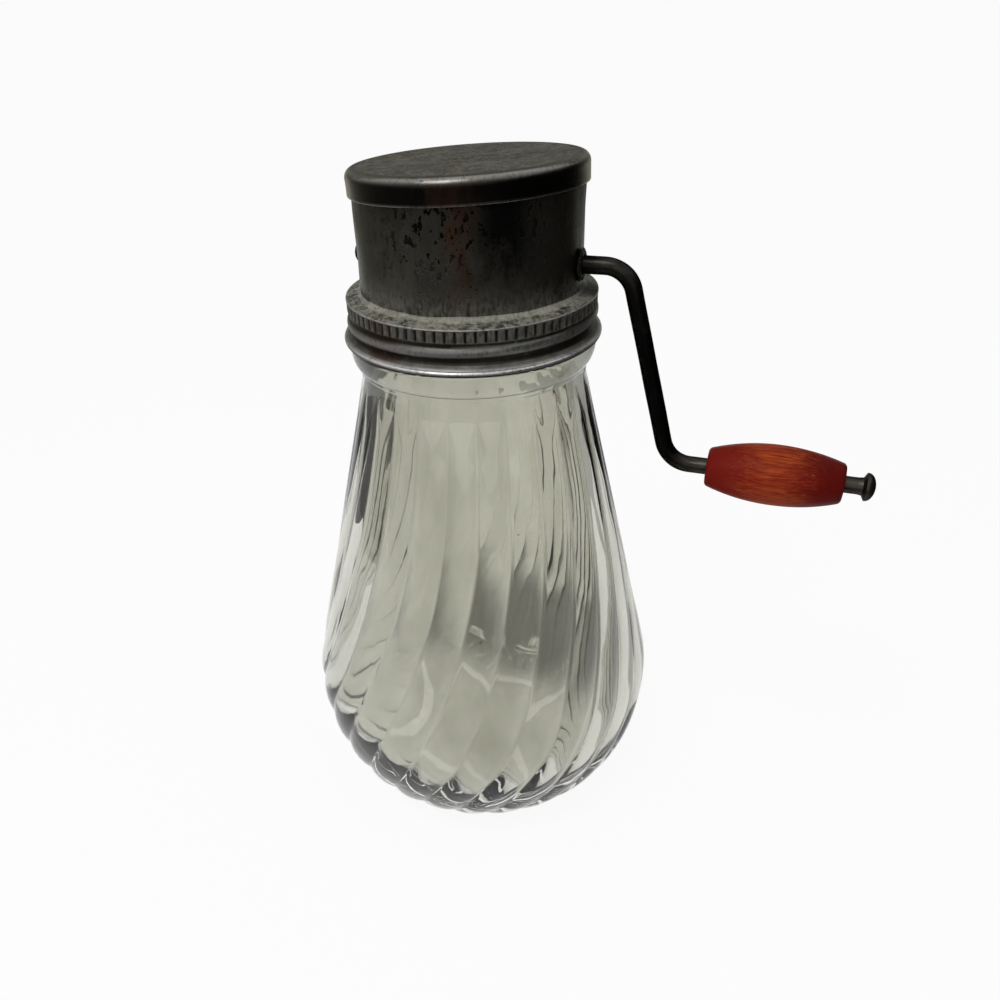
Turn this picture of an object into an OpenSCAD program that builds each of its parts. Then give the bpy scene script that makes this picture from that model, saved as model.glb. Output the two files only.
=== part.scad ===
// Hand-cranked nut grinder: a swirl-ribbed glass jar, a knurled screw cap that
// carries a tinplate hopper, and a crank whose tines comb nuts through fixed teeth.
// Millimetres. The jar stands on z = 0 with its axis on Z, and the crank points to +X.

/* [Glass jar] */
// Height of the glass rim above the table
jar_h = 155.9; // [120:0.1:200]
// Radius at the widest level, over the ridges
belly_r = 52.8; // [44:0.1:64]
// Height of the widest level
belly_z = 36.9; // [24:0.1:50]
// Radius of the arc that turns the cone into the belly
belly_arc_r = 36; // [20:0.5:44]
// Radius of the flat ring that the jar stands on
base_r = 28.9; // [24:0.1:36]
// Radius at the waist below the neck
waist_r = 29.9; // [28.8:0.1:30.5]
// Number of ribs round the jar
rib_count = 26; // [16:1:30]
// Depth of the grooves between the ribs, at the belly
groove_depth = 1.1; // [0.4:0.1:2]
// Length of the tapering top of a groove
groove_arch = 9; // [4:0.5:16]
// Height below which the ribs begin to swirl
swirl_from = 120; // [90:1:130]
// Angle that the ribs have turned by at the base
swirl_turn = 48; // [0:1:70]
// Glass thickness behind a groove
jar_wall = 2.5; // [1.5:0.1:3.2]
// Glass thickness of the base
jar_base_t = 6.5; // [4:0.1:10]
// Height over which the grooves fade into the base
groove_foot = 2; // [1:0.1:5]

/* [Jar neck] */
// Outer radius of the rim that the cap goes over
finish_r = 30.2; // [29.5:0.1:30.5]
// Outer radius of the round bead below the cap
neck_bead_r = 32.3; // [31.2:0.1:34]
// Height of the round bead
neck_bead_h = 6; // [4:0.1:8]
// Height of the thin band under the bead
waist_band_h = 1.2; // [0.6:0.1:3]
// How far the thin band stands proud of the waist
waist_band_step = 0.3; // [0.2:0.05:0.6]
// Height of the plain waist above the ribs
waist_h = 3.5; // [1:0.1:6]
// Rounding of the glass rim
rim_round = 0.8; // [0.3:0.1:1.2]

/* [Screw cap] */
// Radius over the knurl
cap_r = 32; // [31.7:0.1:34]
// How far the cap's sharp edge stands proud of the knurl
lip_step = 0.1; // [0.05:0.05:0.4]
// Thickness of the tinplate
sheet_t = 0.45; // [0.3:0.05:0.5]
// Gap in the soldered and rolled seams of the tinplate
seam_fit = 0.03; // [0.02:0.01:0.05]
// Height of the knurled band
knurl_h = 3.4; // [2:0.1:5]
// Number of knurl flutes
knurl_count = 84; // [48:1:96]
// Depth of the knurl
knurl_depth = 0.3; // [0.1:0.05:0.4]
// Height of the plain band under the knurl
plain_h = 0.8; // [0.4:0.1:2]
// Radius over the rolled thread
roll_r = 32.3; // [32:0.1:34]
// Height of the rolled thread
roll_h = 2.7; // [2:0.1:4]
// Radius in the groove below the rolled thread
groove_r = 31.3; // [31.2:0.05:31.6]
// Height of the groove
groove_h = 1.6; // [1:0.1:3]
// Radius over the bead at the cap's lower edge
curl_r = 33.4; // [32.6:0.1:35]
// Height of the flare above the bead
flare_h = 1; // [0.5:0.1:2]
// Height of the bead at the lower edge
curl_h = 1.5; // [1.2:0.1:2.4]
// Rise of the cap's top from its edge to the hopper
top_rise = 0.9; // [0.3:0.05:1.5]
// Gap between the cap and the bead of the glass
cap_gap = 0.35; // [0.2:0.05:1]
// Gap between the head and the glass rim
seat_gap = 0.1; // [0.05:0.05:0.3]

/* [Hopper and lid] */
// Outer radius of the hopper
hopper_r = 28.15; // [27.6:0.05:28.6]
// Height of the hopper's rim above the cap's edge
hopper_h = 28.05; // [24:0.05:40]
// Outer radius of the hopper's flange under the cap
flange_r = 31; // [30:0.1:31.1]
// Outer height of the lid
lid_h = 5.9; // [4.5:0.1:12]
// Outer radius of the lid's top edge
lid_edge_r = 2; // [1:0.1:3]
// Radial clearance of the lid on the hopper
lid_clear = 0.5; // [0.4:0.05:1]
// How far the loose lid is cocked, in degrees
lid_tilt = 2.8; // [0:0.1:3.2]
// Direction of the lid's high side, in degrees from the crank's side
lid_turn = -33; // [-60:1:60]
// How far the loose lid sits off the hopper's axis, away from the crank
lid_slide = 0.3; // [0:0.05:0.3]
// Gap between the lid's rounded corner and the rim that it rests on
lid_gap = 0.25; // [0.2:0.05:0.4]

/* [Crank] */
// Diameter of the crank rod
rod_d = 4.3; // [3.6:0.1:4.8]
// Height of the shaft above the cap's edge
shaft_rise = 7.5; // [7:0.1:9]
// Distance from the jar's axis to the corner of the first bend
crank_reach = 39.8; // [38:0.1:48]
// Drop from the shaft to the handle's axis
crank_throw = 49.3; // [40:0.1:64]
// Lean of the arm away from the jar, in degrees
crank_lean = 15.4; // [0:0.1:20]
// Radius of the bends, at the centre of the rod
bend_r = 7.5; // [5:0.5:10]
// Bare rod between the second bend and the grip
journal_in = 4.4; // [1:0.1:8]
// Bare rod between the grip and the rivet head
journal_out = 3.1; // [0.5:0.1:6]
// Diameter of the rivet head at the end of the handle
head_d = 6.8; // [6:0.1:9]
// Length of the rivet head
head_l = 4.2; // [2.5:0.1:5]
// Diameter of the peened head at the tail of the shaft
tail_d = 6; // [5.4:0.1:7]
// Length of the peened head at the tail
tail_l = 2.4; // [1.5:0.1:4]
// How much thinner the rod is drawn in its bends
bend_thin = 0.06; // [0.04:0.01:0.2]
// Radial running clearance of the rod in its bushes
run_clear = 0.06; // [0.03:0.01:0.1]

/* [Bushes] */
// Wall thickness of an eyelet bush
bush_wall = 0.7; // [0.5:0.05:1]
// Diameter of a bush's outer flange
bush_flange_d = 8.6; // [7.6:0.1:10]
// Thickness of a bush's flanges
bush_flange_t = 0.7; // [0.4:0.05:1]
// End play between the shaft's pieces and the bushes
end_play = 0.4; // [0.3:0.05:0.8]

/* [Grip] */
// Length of the wooden grip
grip_l = 32.8; // [28:0.1:60]
// Largest diameter of the grip
grip_d = 15.5; // [12:0.1:22]
// Diameter of the grip's flat ends
grip_end_d = 9.8; // [8:0.1:11]
// Radial running clearance of the grip on the rod
grip_clear = 0.08; // [0.03:0.01:0.1]

/* [Grinding set] */
// Thickness of the blade steel
blade_t = 0.9; // [0.6:0.05:1]
// Distance between neighbouring tines on one side
tine_pitch = 6; // [5:0.1:6.2]
// Number of tines on each side of the shaft
tine_count = 6; // [4:2:6]
// Width of a tine
tine_w = 2; // [1.4:0.1:2.4]
// Radius that the tips of the tines sweep
tine_tip_r = 12.8; // [11.5:0.1:13]
// Radius that a tine is curved to
tine_curve_r = 13; // [10:0.5:20]
// Half width of the clasp's flanges
clasp_half_w = 6; // [5.8:0.05:6.1]
// Side gap between a tine and a tooth of the coarse comb
coarse_gap = 1; // [0.7:0.05:1.2]
// Side gap between a tine and a tooth of the fine comb
fine_gap = 0.4; // [0.3:0.05:0.6]
// Clearance between the fixed teeth and what turns
sweep_clear = 0.6; // [0.4:0.05:0.8]
// Angle below the shaft's level at which the fixed teeth end
tooth_angle = 42; // [38:1:46]
// Width of the strip that a comb is fastened by
comb_strip_w = 5; // [4.4:0.1:5.2]
// Diameter of the rivets
rivet_d = 1.6; // [1.2:0.1:1.8]
// Diameter of the rivets' heads
rivet_head_d = 2.6; // [2.2:0.1:2.6]
// Height of the rivets' heads
rivet_head_h = 0.6; // [0.4:0.05:0.7]
// Fit of a rivet in its hole and of the clasp on the rod
rivet_fit = 0.02; // [0.01:0.01:0.04]

/* [Hidden] */
$fn = 96;

// Overlap of neighbouring stretches of one solid
lap = 0.3;

// Heights of the head: the floor lies on the glass rim, then the hopper's flange, then the cap
top_slope = top_rise / (cap_r - hopper_r);
floor_z = jar_h + seat_gap;
floor_top = floor_z + sheet_t;
lip_z = floor_top + 2 * (sheet_t + seam_fit) - top_slope * (cap_r - flange_r);
shaft_z = lip_z + shaft_rise;
hopper_top = lip_z + hopper_h;
hopper_in = hopper_r - sheet_t;

// The round of the lid's inner corner, and how far below the lid's top the rim meets it
lid_inner_round = lid_edge_r - sheet_t;
rim_to_round = max(0, lid_inner_round - lid_clear);
lid_seat = lid_inner_round - sqrt(pow(lid_inner_round, 2) - pow(rim_to_round, 2));

// Heights of the cap's skirt, from its edge down
plain_z = lip_z - knurl_h;
roll_z = plain_z - plain_h;
groove_z = roll_z - roll_h;
flare_z = groove_z - groove_h;
curl_z = flare_z - flare_h;
cap_low = curl_z - curl_h;
cap_in = cap_r - knurl_depth - sheet_t;

// Heights of the jar's neck, and the cone that touches the arc of the belly
neck_bead_z = cap_low - cap_gap;
waist_z = neck_bead_z - neck_bead_h;
body_z = waist_z - waist_band_h;
cone_z = body_z - waist_h;
arc_x = belly_r - belly_arc_r;
cone_angle = atan2(cone_z - belly_z, waist_r - arc_x)
           - acos(belly_arc_r / norm([waist_r - arc_x, cone_z - belly_z]));
tangent_z = belly_z + belly_arc_r * sin(cone_angle);
tangent_r = arc_x + belly_arc_r * cos(cone_angle);
inner_step = groove_depth + jar_wall;
mouth_r = waist_r - inner_step;

// The crank's corners and the places along the handle
rod_r = rod_d / 2;
arm_x = crank_throw * tan(crank_lean);
bend_turn = 90 - crank_lean;
bend_cut = bend_r * tan(bend_turn / 2);
handle_z = shaft_z - crank_throw;
handle_x = crank_reach + arm_x + bend_cut;
grip_x = handle_x + journal_in;
head_x = grip_x + grip_l + journal_out;

// The bushes stand on the hopper wall, outside and inside
bush_r = rod_r + run_clear + bush_wall;
bush_out = hopper_r + seam_fit;
bush_in = sqrt(pow(hopper_in, 2) - pow(bush_flange_d / 2, 2)) - seam_fit;
clasp_end = bush_in - bush_flange_t - end_play;
tail_x = bush_out + bush_flange_t + end_play;

// The clasp's channel, the tines' places and the window that they pass through
channel_in = rod_r + rivet_fit;
channel_r = channel_in + blade_t;
tine_first = -(tine_count - 1) / 2 * tine_pitch;
comb_l = (tine_count + 1) * tine_pitch - tine_w;
clasp_corner = norm([clasp_half_w, blade_t]);
rivet_y = (channel_r + clasp_half_w) / 2;
drop = shaft_z - floor_top;
strip_in = sqrt(pow(tine_tip_r + sweep_clear, 2) - pow(drop - blade_t, 2));
window_half = sqrt(pow(tine_tip_r + sweep_clear, 2) - pow(drop, 2));
comb_rivet_x = comb_l / 2 - tine_pitch;
tooth_tip = clasp_corner + sweep_clear + blade_t / 2;

// Points of an elliptical arc from one angle to another, round (x, y)
function arc(x, y, rx, ry, from, to, steps) =
    [for (i = [0 : steps]) let (a = from + (to - from) * i / steps) [x + rx * cos(a), y + ry * sin(a)]];

// Radius of the jar over its ridges at height z
function ridge_r(z) =
    z <= belly_z ? base_r + (belly_r - base_r) * sqrt(max(0, 1 - pow((belly_z - z) / belly_z, 2)))
    : z <= tangent_z ? arc_x + sqrt(pow(belly_arc_r, 2) - pow(z - belly_z, 2))
    : z <= cone_z ? tangent_r + (waist_r - tangent_r) * (z - tangent_z) / (cone_z - tangent_z)
    : waist_r;

// How far a groove has opened at height z: 0 at its ends, 1 over most of its length
function groove_open(z) = min(1, max(0, (cone_z - z) / groove_arch), z / groove_foot);

// Depth below a rib's crest at u across the rib, from -0.5 to 0.5: a round rib between tapering grooves
function groove_cut(u, z) =
    groove_depth * ridge_r(z) / belly_r * max(0, groove_open(z) - 1 + 4 * u * u);

// Turn of the ribs at height z, clockwise on the way down as seen from above
function swirl(z) = z < swirl_from ? -swirl_turn * pow(1 - z / swirl_from, 2) : 0;

// Ribbed body of the jar, without its neck and its inside
module ribbed_body() {
    across = 6;
    round_steps = 9;
    cone_steps = 11;
    arch_steps = 4;
    count = rib_count * across;
    arch_z = cone_z - groove_arch;
    heights = concat(
        [for (i = [0 : round_steps]) belly_z * (1 - cos(90 * i / round_steps))],
        [for (i = [0 : cone_steps]) tangent_z + (arch_z - tangent_z) * i / cone_steps],
        [for (i = [1 : arch_steps]) arch_z + groove_arch * i / arch_steps],
        [body_z]);
    rings = len(heights);
    points = [for (z = heights) for (k = [0 : count - 1])
        let (u = (k % across) / across - 0.5, a = 360 * k / count + swirl(z),
             r = ridge_r(z) - groove_cut(u, z))
        [r * cos(a), r * sin(a), z]];
    sides = [for (i = [0 : rings - 2]) for (k = [0 : count - 1])
        let (n = (k + 1) % count, low = i * count, high = low + count)
        each [[low + k, high + k, high + n], [low + k, high + n, low + n]]];
    bottom = [for (k = [0 : count - 1]) k];
    top = [for (k = [0 : count - 1]) rings * count - 1 - k];
    polyhedron(points, concat(sides, [bottom, top]), convexity = 6);
}

// Neck of the jar: the rim, the round bead under the cap and the thin band
module jar_neck() {
    band_r = waist_r + waist_band_step;
    bead_end_angle = 75;
    rotate_extrude() polygon(concat(
        [[0, body_z - lap], [band_r, body_z - lap], [band_r, waist_z]],
        arc(band_r, neck_bead_z, neck_bead_r - band_r, neck_bead_h, -bead_end_angle, 0, 6),
        [[finish_r, neck_bead_z]],
        arc(finish_r - rim_round, jar_h - rim_round, rim_round, rim_round, 0, 90, 4),
        [[0, jar_h]]));
}

// Inside of the jar, smooth all over, with a rounded mouth
module jar_cavity() {
    floor_r = base_r - inner_step;
    rotate_extrude() polygon(concat(
        [[0, jar_base_t]],
        arc(floor_r, belly_z, belly_r - base_r, belly_z - jar_base_t, -90, 0, 10),
        arc(arc_x, belly_z, belly_arc_r - inner_step, belly_arc_r - inner_step, 0, cone_angle, 3),
        [[mouth_r, cone_z]],
        arc(mouth_r + rim_round, jar_h - rim_round, rim_round, rim_round, 180, 90, 4),
        [[mouth_r + rim_round, jar_h + 1], [0, jar_h + 1]]));
}

module glass_jar() {
    color([0.80, 0.84, 0.80, 0.5])
    difference() {
        union() {
            ribbed_body();
            jar_neck();
        }
        jar_cavity();
    }
}

// Ring of the cap with vertical knurl flutes
module knurled_band() {
    points = [for (i = [0 : 2 * knurl_count - 1]) let (a = 180 * i / knurl_count, r = cap_r - (i % 2) * knurl_depth)
        [r * cos(a), r * sin(a)]];
    translate([0, 0, plain_z])
    linear_extrude(knurl_h - sheet_t / 2)
    difference() {
        polygon(points);
        circle(cap_in);
    }
}

// Sloping top of the cap, with its sharp edge
module cap_top() {
    hole_r = hopper_r + seam_fit;
    rise = top_slope * (cap_r - hole_r);
    rotate_extrude() polygon([
        [cap_in, lip_z - sheet_t], [cap_r + lip_step, lip_z - sheet_t], [cap_r + lip_step, lip_z], [cap_r, lip_z],
        [hole_r, lip_z + rise], [hole_r, lip_z + rise - sheet_t],
        [cap_in, lip_z - sheet_t + top_slope * (cap_r - cap_in)]]);
}

// Plain band, rolled thread, groove, flare and curled edge of the cap
module cap_skirt() {
    band_r = cap_r - knurl_depth - lip_step;
    outer = concat(
        [[band_r, plain_z + lap], [band_r, roll_z]],
        arc(band_r, roll_z - roll_h / 2, roll_r - band_r, roll_h / 2, 60, -60, 4),
        [[groove_r, groove_z], [groove_r, flare_z], [curl_r - curl_h / 2, curl_z]],
        arc(curl_r - curl_h / 2, cap_low + curl_h / 2, curl_h / 2, curl_h / 2, 60, -90, 6));
    inner = [[groove_r, cap_low], [groove_r - sheet_t, flare_z], [groove_r - sheet_t, groove_z],
             [band_r - sheet_t, roll_z], [band_r - sheet_t, plain_z + lap]];
    rotate_extrude() polygon(concat(outer, inner));
}

module screw_cap() {
    color([0.45, 0.45, 0.43])
    union() {
        cap_top();
        knurled_band();
        cap_skirt();
    }
}

// Hopper: a tinplate drum with a flange that is soldered under the cap
module hopper_body() {
    flange_drop = top_slope * (flange_r - hopper_r);
    foot_z = lip_z - sheet_t - seam_fit + top_slope * (cap_r - hopper_r);
    color([0.36, 0.35, 0.33])
    difference() {
        rotate_extrude() polygon([
            [hopper_in, foot_z - sheet_t + top_slope * sheet_t],
            [flange_r, foot_z - sheet_t - flange_drop], [flange_r, foot_z - flange_drop],
            [hopper_r, foot_z], [hopper_r, hopper_top], [hopper_in, hopper_top]]);
        translate([-2 * hopper_r, 0, shaft_z]) rotate([0, 90, 0]) cylinder(h = 4 * hopper_r, r = bush_r + seam_fit);
    }
}

// Floor of the hopper: a disc held under the flange, with the window that the tines pass through
module hopper_floor() {
    color([0.50, 0.49, 0.46])
    translate([0, 0, floor_z])
    linear_extrude(sheet_t)
    difference() {
        circle(flange_r - seam_fit);
        square([comb_l, 2 * window_half], center = true);
        for (x = [-comb_rivet_x, comb_rivet_x], side = [-1, 1])
            translate([x, side * (strip_in + comb_strip_w / 2)]) circle(rivet_d / 2 + rivet_fit, $fn = 32);
    }
}

// Comb of fixed teeth: a strip on the floor, and teeth that rise from it towards the shaft
module comb(side_gap) {
    tooth_w = tine_pitch - tine_w - 2 * side_gap;
    tip = tooth_tip * [cos(tooth_angle), -sin(tooth_angle)];
    root = [strip_in + blade_t, blade_t / 2 - drop];
    across = blade_t / 2 * [tip[1] - root[1], root[0] - tip[0]] / norm(root - tip);
    difference() {
        translate([0, 0, shaft_z]) rotate([90, 0, 90]) {
            for (i = [0 : tine_count])
                translate([0, 0, tine_first + (i - 0.5) * tine_pitch - tooth_w / 2])
                linear_extrude(tooth_w) polygon([tip - across, tip + across, root + across, root - across]);
            translate([0, 0, -comb_l / 2])
            linear_extrude(comb_l)
            translate([strip_in, -drop]) square([comb_strip_w, blade_t]);
        }
        for (x = [-comb_rivet_x, comb_rivet_x])
            translate([x, strip_in + comb_strip_w / 2, floor_z - 1])
            cylinder(h = blade_t + sheet_t + 2, r = rivet_d / 2 + rivet_fit, $fn = 32);
    }
}

module coarse_comb() {
    color([0.55, 0.55, 0.54]) comb(coarse_gap);
}

module fine_comb() {
    color([0.60, 0.60, 0.58]) mirror([0, 1, 0]) comb(fine_gap);
}

// Rivet through a stack of sheets, from z = 0 up to its thickness
module rivet(thickness) {
    head = arc(0, 0, rivet_head_d / 2, rivet_head_h, 0, 90, 4);
    rotate_extrude($fn = 32) polygon(concat(
        [for (p = head) [p[0], thickness + p[1]]],
        [for (i = [len(head) - 1 : -1 : 0]) [head[i][0], -head[i][1]]],
        [[rivet_d / 2, 0], [rivet_d / 2, thickness]]));
}

module comb_rivets() {
    color([0.70, 0.70, 0.68])
    for (x = [-comb_rivet_x, comb_rivet_x], side = [-1, 1])
        translate([x, side * (strip_in + comb_strip_w / 2), floor_z]) rivet(sheet_t + blade_t);
}

// Eyelet bush along +X, with a flange on each side of the hopper wall
module bush() {
    bore = rod_r + run_clear;
    translate([0, 0, shaft_z]) rotate([0, 90, 0])
    rotate_extrude() polygon([
        [bore, bush_in - bush_flange_t], [bush_flange_d / 2 - bush_wall / 2, bush_in - bush_flange_t],
        [bush_flange_d / 2 - bush_wall / 2, bush_in], [bush_r, bush_in], [bush_r, bush_out],
        [bush_flange_d / 2, bush_out], [bush_flange_d / 2, bush_out + bush_flange_t / 2],
        [bush_flange_d / 2 - bush_flange_t, bush_out + bush_flange_t], [bore, bush_out + bush_flange_t]]);
}

module crank_bush() {
    color([0.25, 0.22, 0.20]) bush();
}

module tail_bush() {
    color([0.28, 0.25, 0.22]) mirror([1, 0, 0]) bush();
}

// Domed head at the end of the rod, along +X
module rod_head(d, l) {
    flat = l / 3;
    rotate([0, 90, 0]) rotate_extrude() polygon(concat(
        [[0, 0], [d / 2, 0]], arc(0, flat, d / 2, l - flat, 0, 90, 6)));
}

// Bend of the rod: a quarter of a ring in the XZ plane, from one angle round its centre
module rod_bend(x, z, from) {
    translate([x, 0, z]) rotate([90, 0, 0]) rotate([0, 0, from])
    rotate_extrude(angle = bend_turn) translate([bend_r, 0]) circle(rod_r - bend_thin / 2);
}

// Straight stretch of the rod from a point, turned by an angle from +Z towards +X
module rod_stretch(x, z, turn, length) {
    translate([x, 0, z]) rotate([0, turn, 0]) translate([0, 0, -lap]) cylinder(h = length + 2 * lap, r = rod_r);
}

module crank_rod() {
    first_x = crank_reach - bend_cut;
    arm_l = norm([arm_x, crank_throw]) - 2 * bend_cut;
    arm_start = [crank_reach + bend_cut * sin(crank_lean), shaft_z - bend_cut * cos(crank_lean)];
    color([0.16, 0.15, 0.14])
    union() {
        translate([-tail_x, 0, shaft_z]) mirror([1, 0, 0]) rod_head(tail_d, tail_l);
        rod_stretch(-tail_x, shaft_z, 90, tail_x + first_x);
        rod_bend(first_x, shaft_z - bend_r, crank_lean);
        rod_stretch(arm_start[0], arm_start[1], 180 - crank_lean, arm_l);
        rod_bend(handle_x, handle_z + bend_r, 180 + crank_lean);
        rod_stretch(handle_x, handle_z, 90, head_x - handle_x);
        translate([head_x, 0, handle_z]) rod_head(head_d, head_l);
    }
}

// Profile of a tine, from the clasp's flange out to its tip, curved upwards
module tine_profile() {
    back_r = tine_curve_r + blade_t / 2;
    face_r = tine_curve_r - blade_t / 2;
    tip_spare = 0.65;
    sweep = asin((tine_tip_r - tip_spare - clasp_half_w) / back_r);
    polygon(concat(
        [[channel_r, 0]],
        arc(clasp_half_w, back_r, back_r, back_r, -90, -90 + sweep, 5),
        arc(clasp_half_w, back_r, face_r, face_r, -90 + sweep, -90, 5),
        [[channel_r, blade_t]]));
}

// Half of the rotor: a channel over the rod with two flanges, and a row of curved tines
module rotor_comb() {
    flange_l = comb_l - tine_pitch + tine_w;
    difference() {
        rotate([90, 0, 90]) {
            translate([0, 0, -clasp_end]) linear_extrude(2 * clasp_end)
            intersection() {
                difference() {
                    circle(channel_r);
                    circle(channel_in);
                }
                translate([-channel_r, 0]) square([2 * channel_r, channel_r]);
            }
            for (side = [0, 1]) mirror([side, 0, 0])
                translate([channel_in + blade_t / 3, 0, -flange_l / 2])
                cube([clasp_half_w - channel_in - blade_t / 3, blade_t, flange_l]);
            for (i = [0 : tine_count - 1])
                translate([0, 0, tine_first + i * tine_pitch - tine_w / 2]) linear_extrude(tine_w) tine_profile();
        }
        for (x = [-comb_rivet_x, comb_rivet_x], side = [-1, 1])
            translate([x, side * rivet_y, -1]) cylinder(h = blade_t + 2, r = rivet_d / 2 + rivet_fit, $fn = 32);
    }
}

module rotor_comb_front() {
    color([0.58, 0.58, 0.57]) translate([0, 0, shaft_z]) rotor_comb();
}

module rotor_comb_back() {
    color([0.52, 0.52, 0.51]) translate([0, 0, shaft_z]) rotate([180, 0, 0]) rotor_comb();
}

module rotor_rivets() {
    color([0.72, 0.72, 0.70])
    for (x = [-comb_rivet_x, comb_rivet_x], side = [-1, 1])
        translate([x, side * rivet_y, shaft_z - blade_t]) rivet(2 * blade_t);
}

// Turned barrel grip with flat ends and a bore that runs on the rod
module handle_grip() {
    half = grip_l / 2;
    bulge = (grip_d - grip_end_d) / 2;
    bow_r = (half * half + bulge * bulge) / (2 * bulge);
    bow_a = asin(half / bow_r);
    color([0.66, 0.15, 0.09])
    translate([grip_x + half, 0, handle_z]) rotate([0, 90, 0])
    rotate_extrude() polygon(concat(
        arc(grip_d / 2 - bow_r, 0, bow_r, bow_r, -bow_a, bow_a, 12),
        [[rod_r + grip_clear, half], [rod_r + grip_clear, -half]]));
}

// Slip lid: a shallow cap that rests on the hopper's rim at one side, cocked
module hopper_lid() {
    inner = hopper_r + lid_clear;
    outer = inner + sheet_t;
    color([0.22, 0.20, 0.17])
    translate([-lid_slide, 0, hopper_top + lid_seat + lid_gap]) rotate([0, 0, lid_turn])
    translate([-hopper_r, 0, 0]) rotate([0, -lid_tilt, 0]) translate([hopper_r, 0, sheet_t])
    rotate_extrude() polygon(concat(
        [[0, 0]],
        arc(outer - lid_edge_r, -lid_edge_r, lid_edge_r, lid_edge_r, 90, 0, 5),
        [[outer, -lid_h], [inner, -lid_h]],
        arc(outer - lid_edge_r, -lid_edge_r, lid_inner_round, lid_inner_round, 0, 90, 5),
        [[0, -sheet_t]]));
}

glass_jar();
screw_cap();
hopper_body();
hopper_floor();
coarse_comb();
fine_comb();
comb_rivets();
crank_bush();
tail_bush();
crank_rod();
rotor_comb_front();
rotor_comb_back();
rotor_rivets();
handle_grip();
hopper_lid();
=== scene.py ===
"""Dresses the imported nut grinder: ribbed glass, tarnished tinplate, dark steel and red lacquered wood.

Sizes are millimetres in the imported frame. The jar stands on z = 0 with its axis on Z, and the crank points
to +X. Angles are degrees unless a name says otherwise. Meshes are written in metres.
"""

import logging
import math
from dataclasses import dataclass, field
from enum import Enum
from typing import Mapping, Optional, Sequence, Union

import bpy
import numpy as np
from mathutils import Matrix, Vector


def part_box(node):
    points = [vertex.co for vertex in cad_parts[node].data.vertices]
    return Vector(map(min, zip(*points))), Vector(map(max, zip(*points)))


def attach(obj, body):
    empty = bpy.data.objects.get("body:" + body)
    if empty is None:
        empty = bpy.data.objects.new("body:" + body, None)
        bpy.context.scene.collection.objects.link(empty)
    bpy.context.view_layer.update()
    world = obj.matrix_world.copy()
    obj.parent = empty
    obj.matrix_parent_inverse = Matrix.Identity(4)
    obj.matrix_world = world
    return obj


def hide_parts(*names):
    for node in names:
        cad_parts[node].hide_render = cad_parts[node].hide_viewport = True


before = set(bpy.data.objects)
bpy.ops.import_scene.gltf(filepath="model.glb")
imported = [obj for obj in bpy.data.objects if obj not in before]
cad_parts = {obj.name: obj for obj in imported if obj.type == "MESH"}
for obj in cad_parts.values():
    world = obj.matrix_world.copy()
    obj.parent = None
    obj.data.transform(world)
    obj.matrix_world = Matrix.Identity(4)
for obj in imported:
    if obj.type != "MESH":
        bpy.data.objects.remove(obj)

MM = 0.001
SHARP_ANGLE = math.radians(40)
log = logging.getLogger("nut_grinder")

Colour = tuple[float, float, float]


class Body(Enum):
    """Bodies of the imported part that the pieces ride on."""

    JAR = "jar"
    HEAD = "head"
    CRANK = "crank"
    GRIP = "grip"
    LID = "lid"


class Slot(Enum):
    """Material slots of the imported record."""

    GLASS = "clear_glass"
    TIN = "tinplate"
    DARK_TIN = "dark_tin"
    DARK_STEEL = "dark_steel"
    WOOD = "red_wood"


class Ends(Enum):
    """How a stack of rings is closed."""

    OPEN = "open"
    POLES = "poles"
    LOOP = "loop"


class SeenBy(Enum):
    """Which rays meet a studio card."""

    GLOSSY = "glossy"
    GLASS = "glass"


def arc(centre: Sequence[float], radii: Sequence[float], start: float, end: float, count: int) -> np.ndarray:
    """Points of an elliptical arc: the centre plus the radii times the cosine and sine of each angle.

    Args:
        centre: Centre in the profile's plane, as radius and height.
        radii: Half axes along radius and height.
        start: First angle in degrees.
        end: Last angle in degrees.
        count: Number of points.

    Returns:
        Array of shape (count, 2).
    """
    angle = np.radians(np.linspace(start, end, count))
    return np.stack([centre[0] + radii[0] * np.cos(angle), centre[1] + radii[1] * np.sin(angle)], axis=-1)


def soften(corners: np.ndarray, cut: float, steps: int = 5) -> np.ndarray:
    """Rounds an outline's corners: each becomes a quadratic curve between points set back along its sides.

    Args:
        corners: Outline of shape (n, 2).
        cut: Most that a corner is set back along a side.
        steps: Points on each rounded corner.

    Returns:
        Outline with its first and last points kept and no point doubled.
    """
    before = np.roll(corners, 1, axis=0)
    after = np.roll(corners, -1, axis=0)
    before[0] = corners[0]
    after[-1] = corners[-1]
    t = np.linspace(0, 1, steps)[None, :, None]

    def set_back(other: np.ndarray) -> np.ndarray:
        """Points on the sides towards the neighbours, set back by the cut and at most half way along.

        Args:
            other: Neighbour of each corner.

        Returns:
            Points of shape (n, 2).
        """
        side = other - corners
        length = np.linalg.norm(side, axis=1, keepdims=True)
        return corners + side * np.minimum(0.5, cut / np.maximum(length, 1e-9))

    start = set_back(before)[:, None, :]
    end = set_back(after)[:, None, :]
    curve = (1 - t) ** 2 * start + 2 * t * (1 - t) * corners[:, None, :] + t ** 2 * end
    points = curve.reshape(-1, 2)
    new = np.concatenate([[True], np.linalg.norm(np.diff(points, axis=0), axis=1) > 1e-5])
    return points[new]


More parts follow.
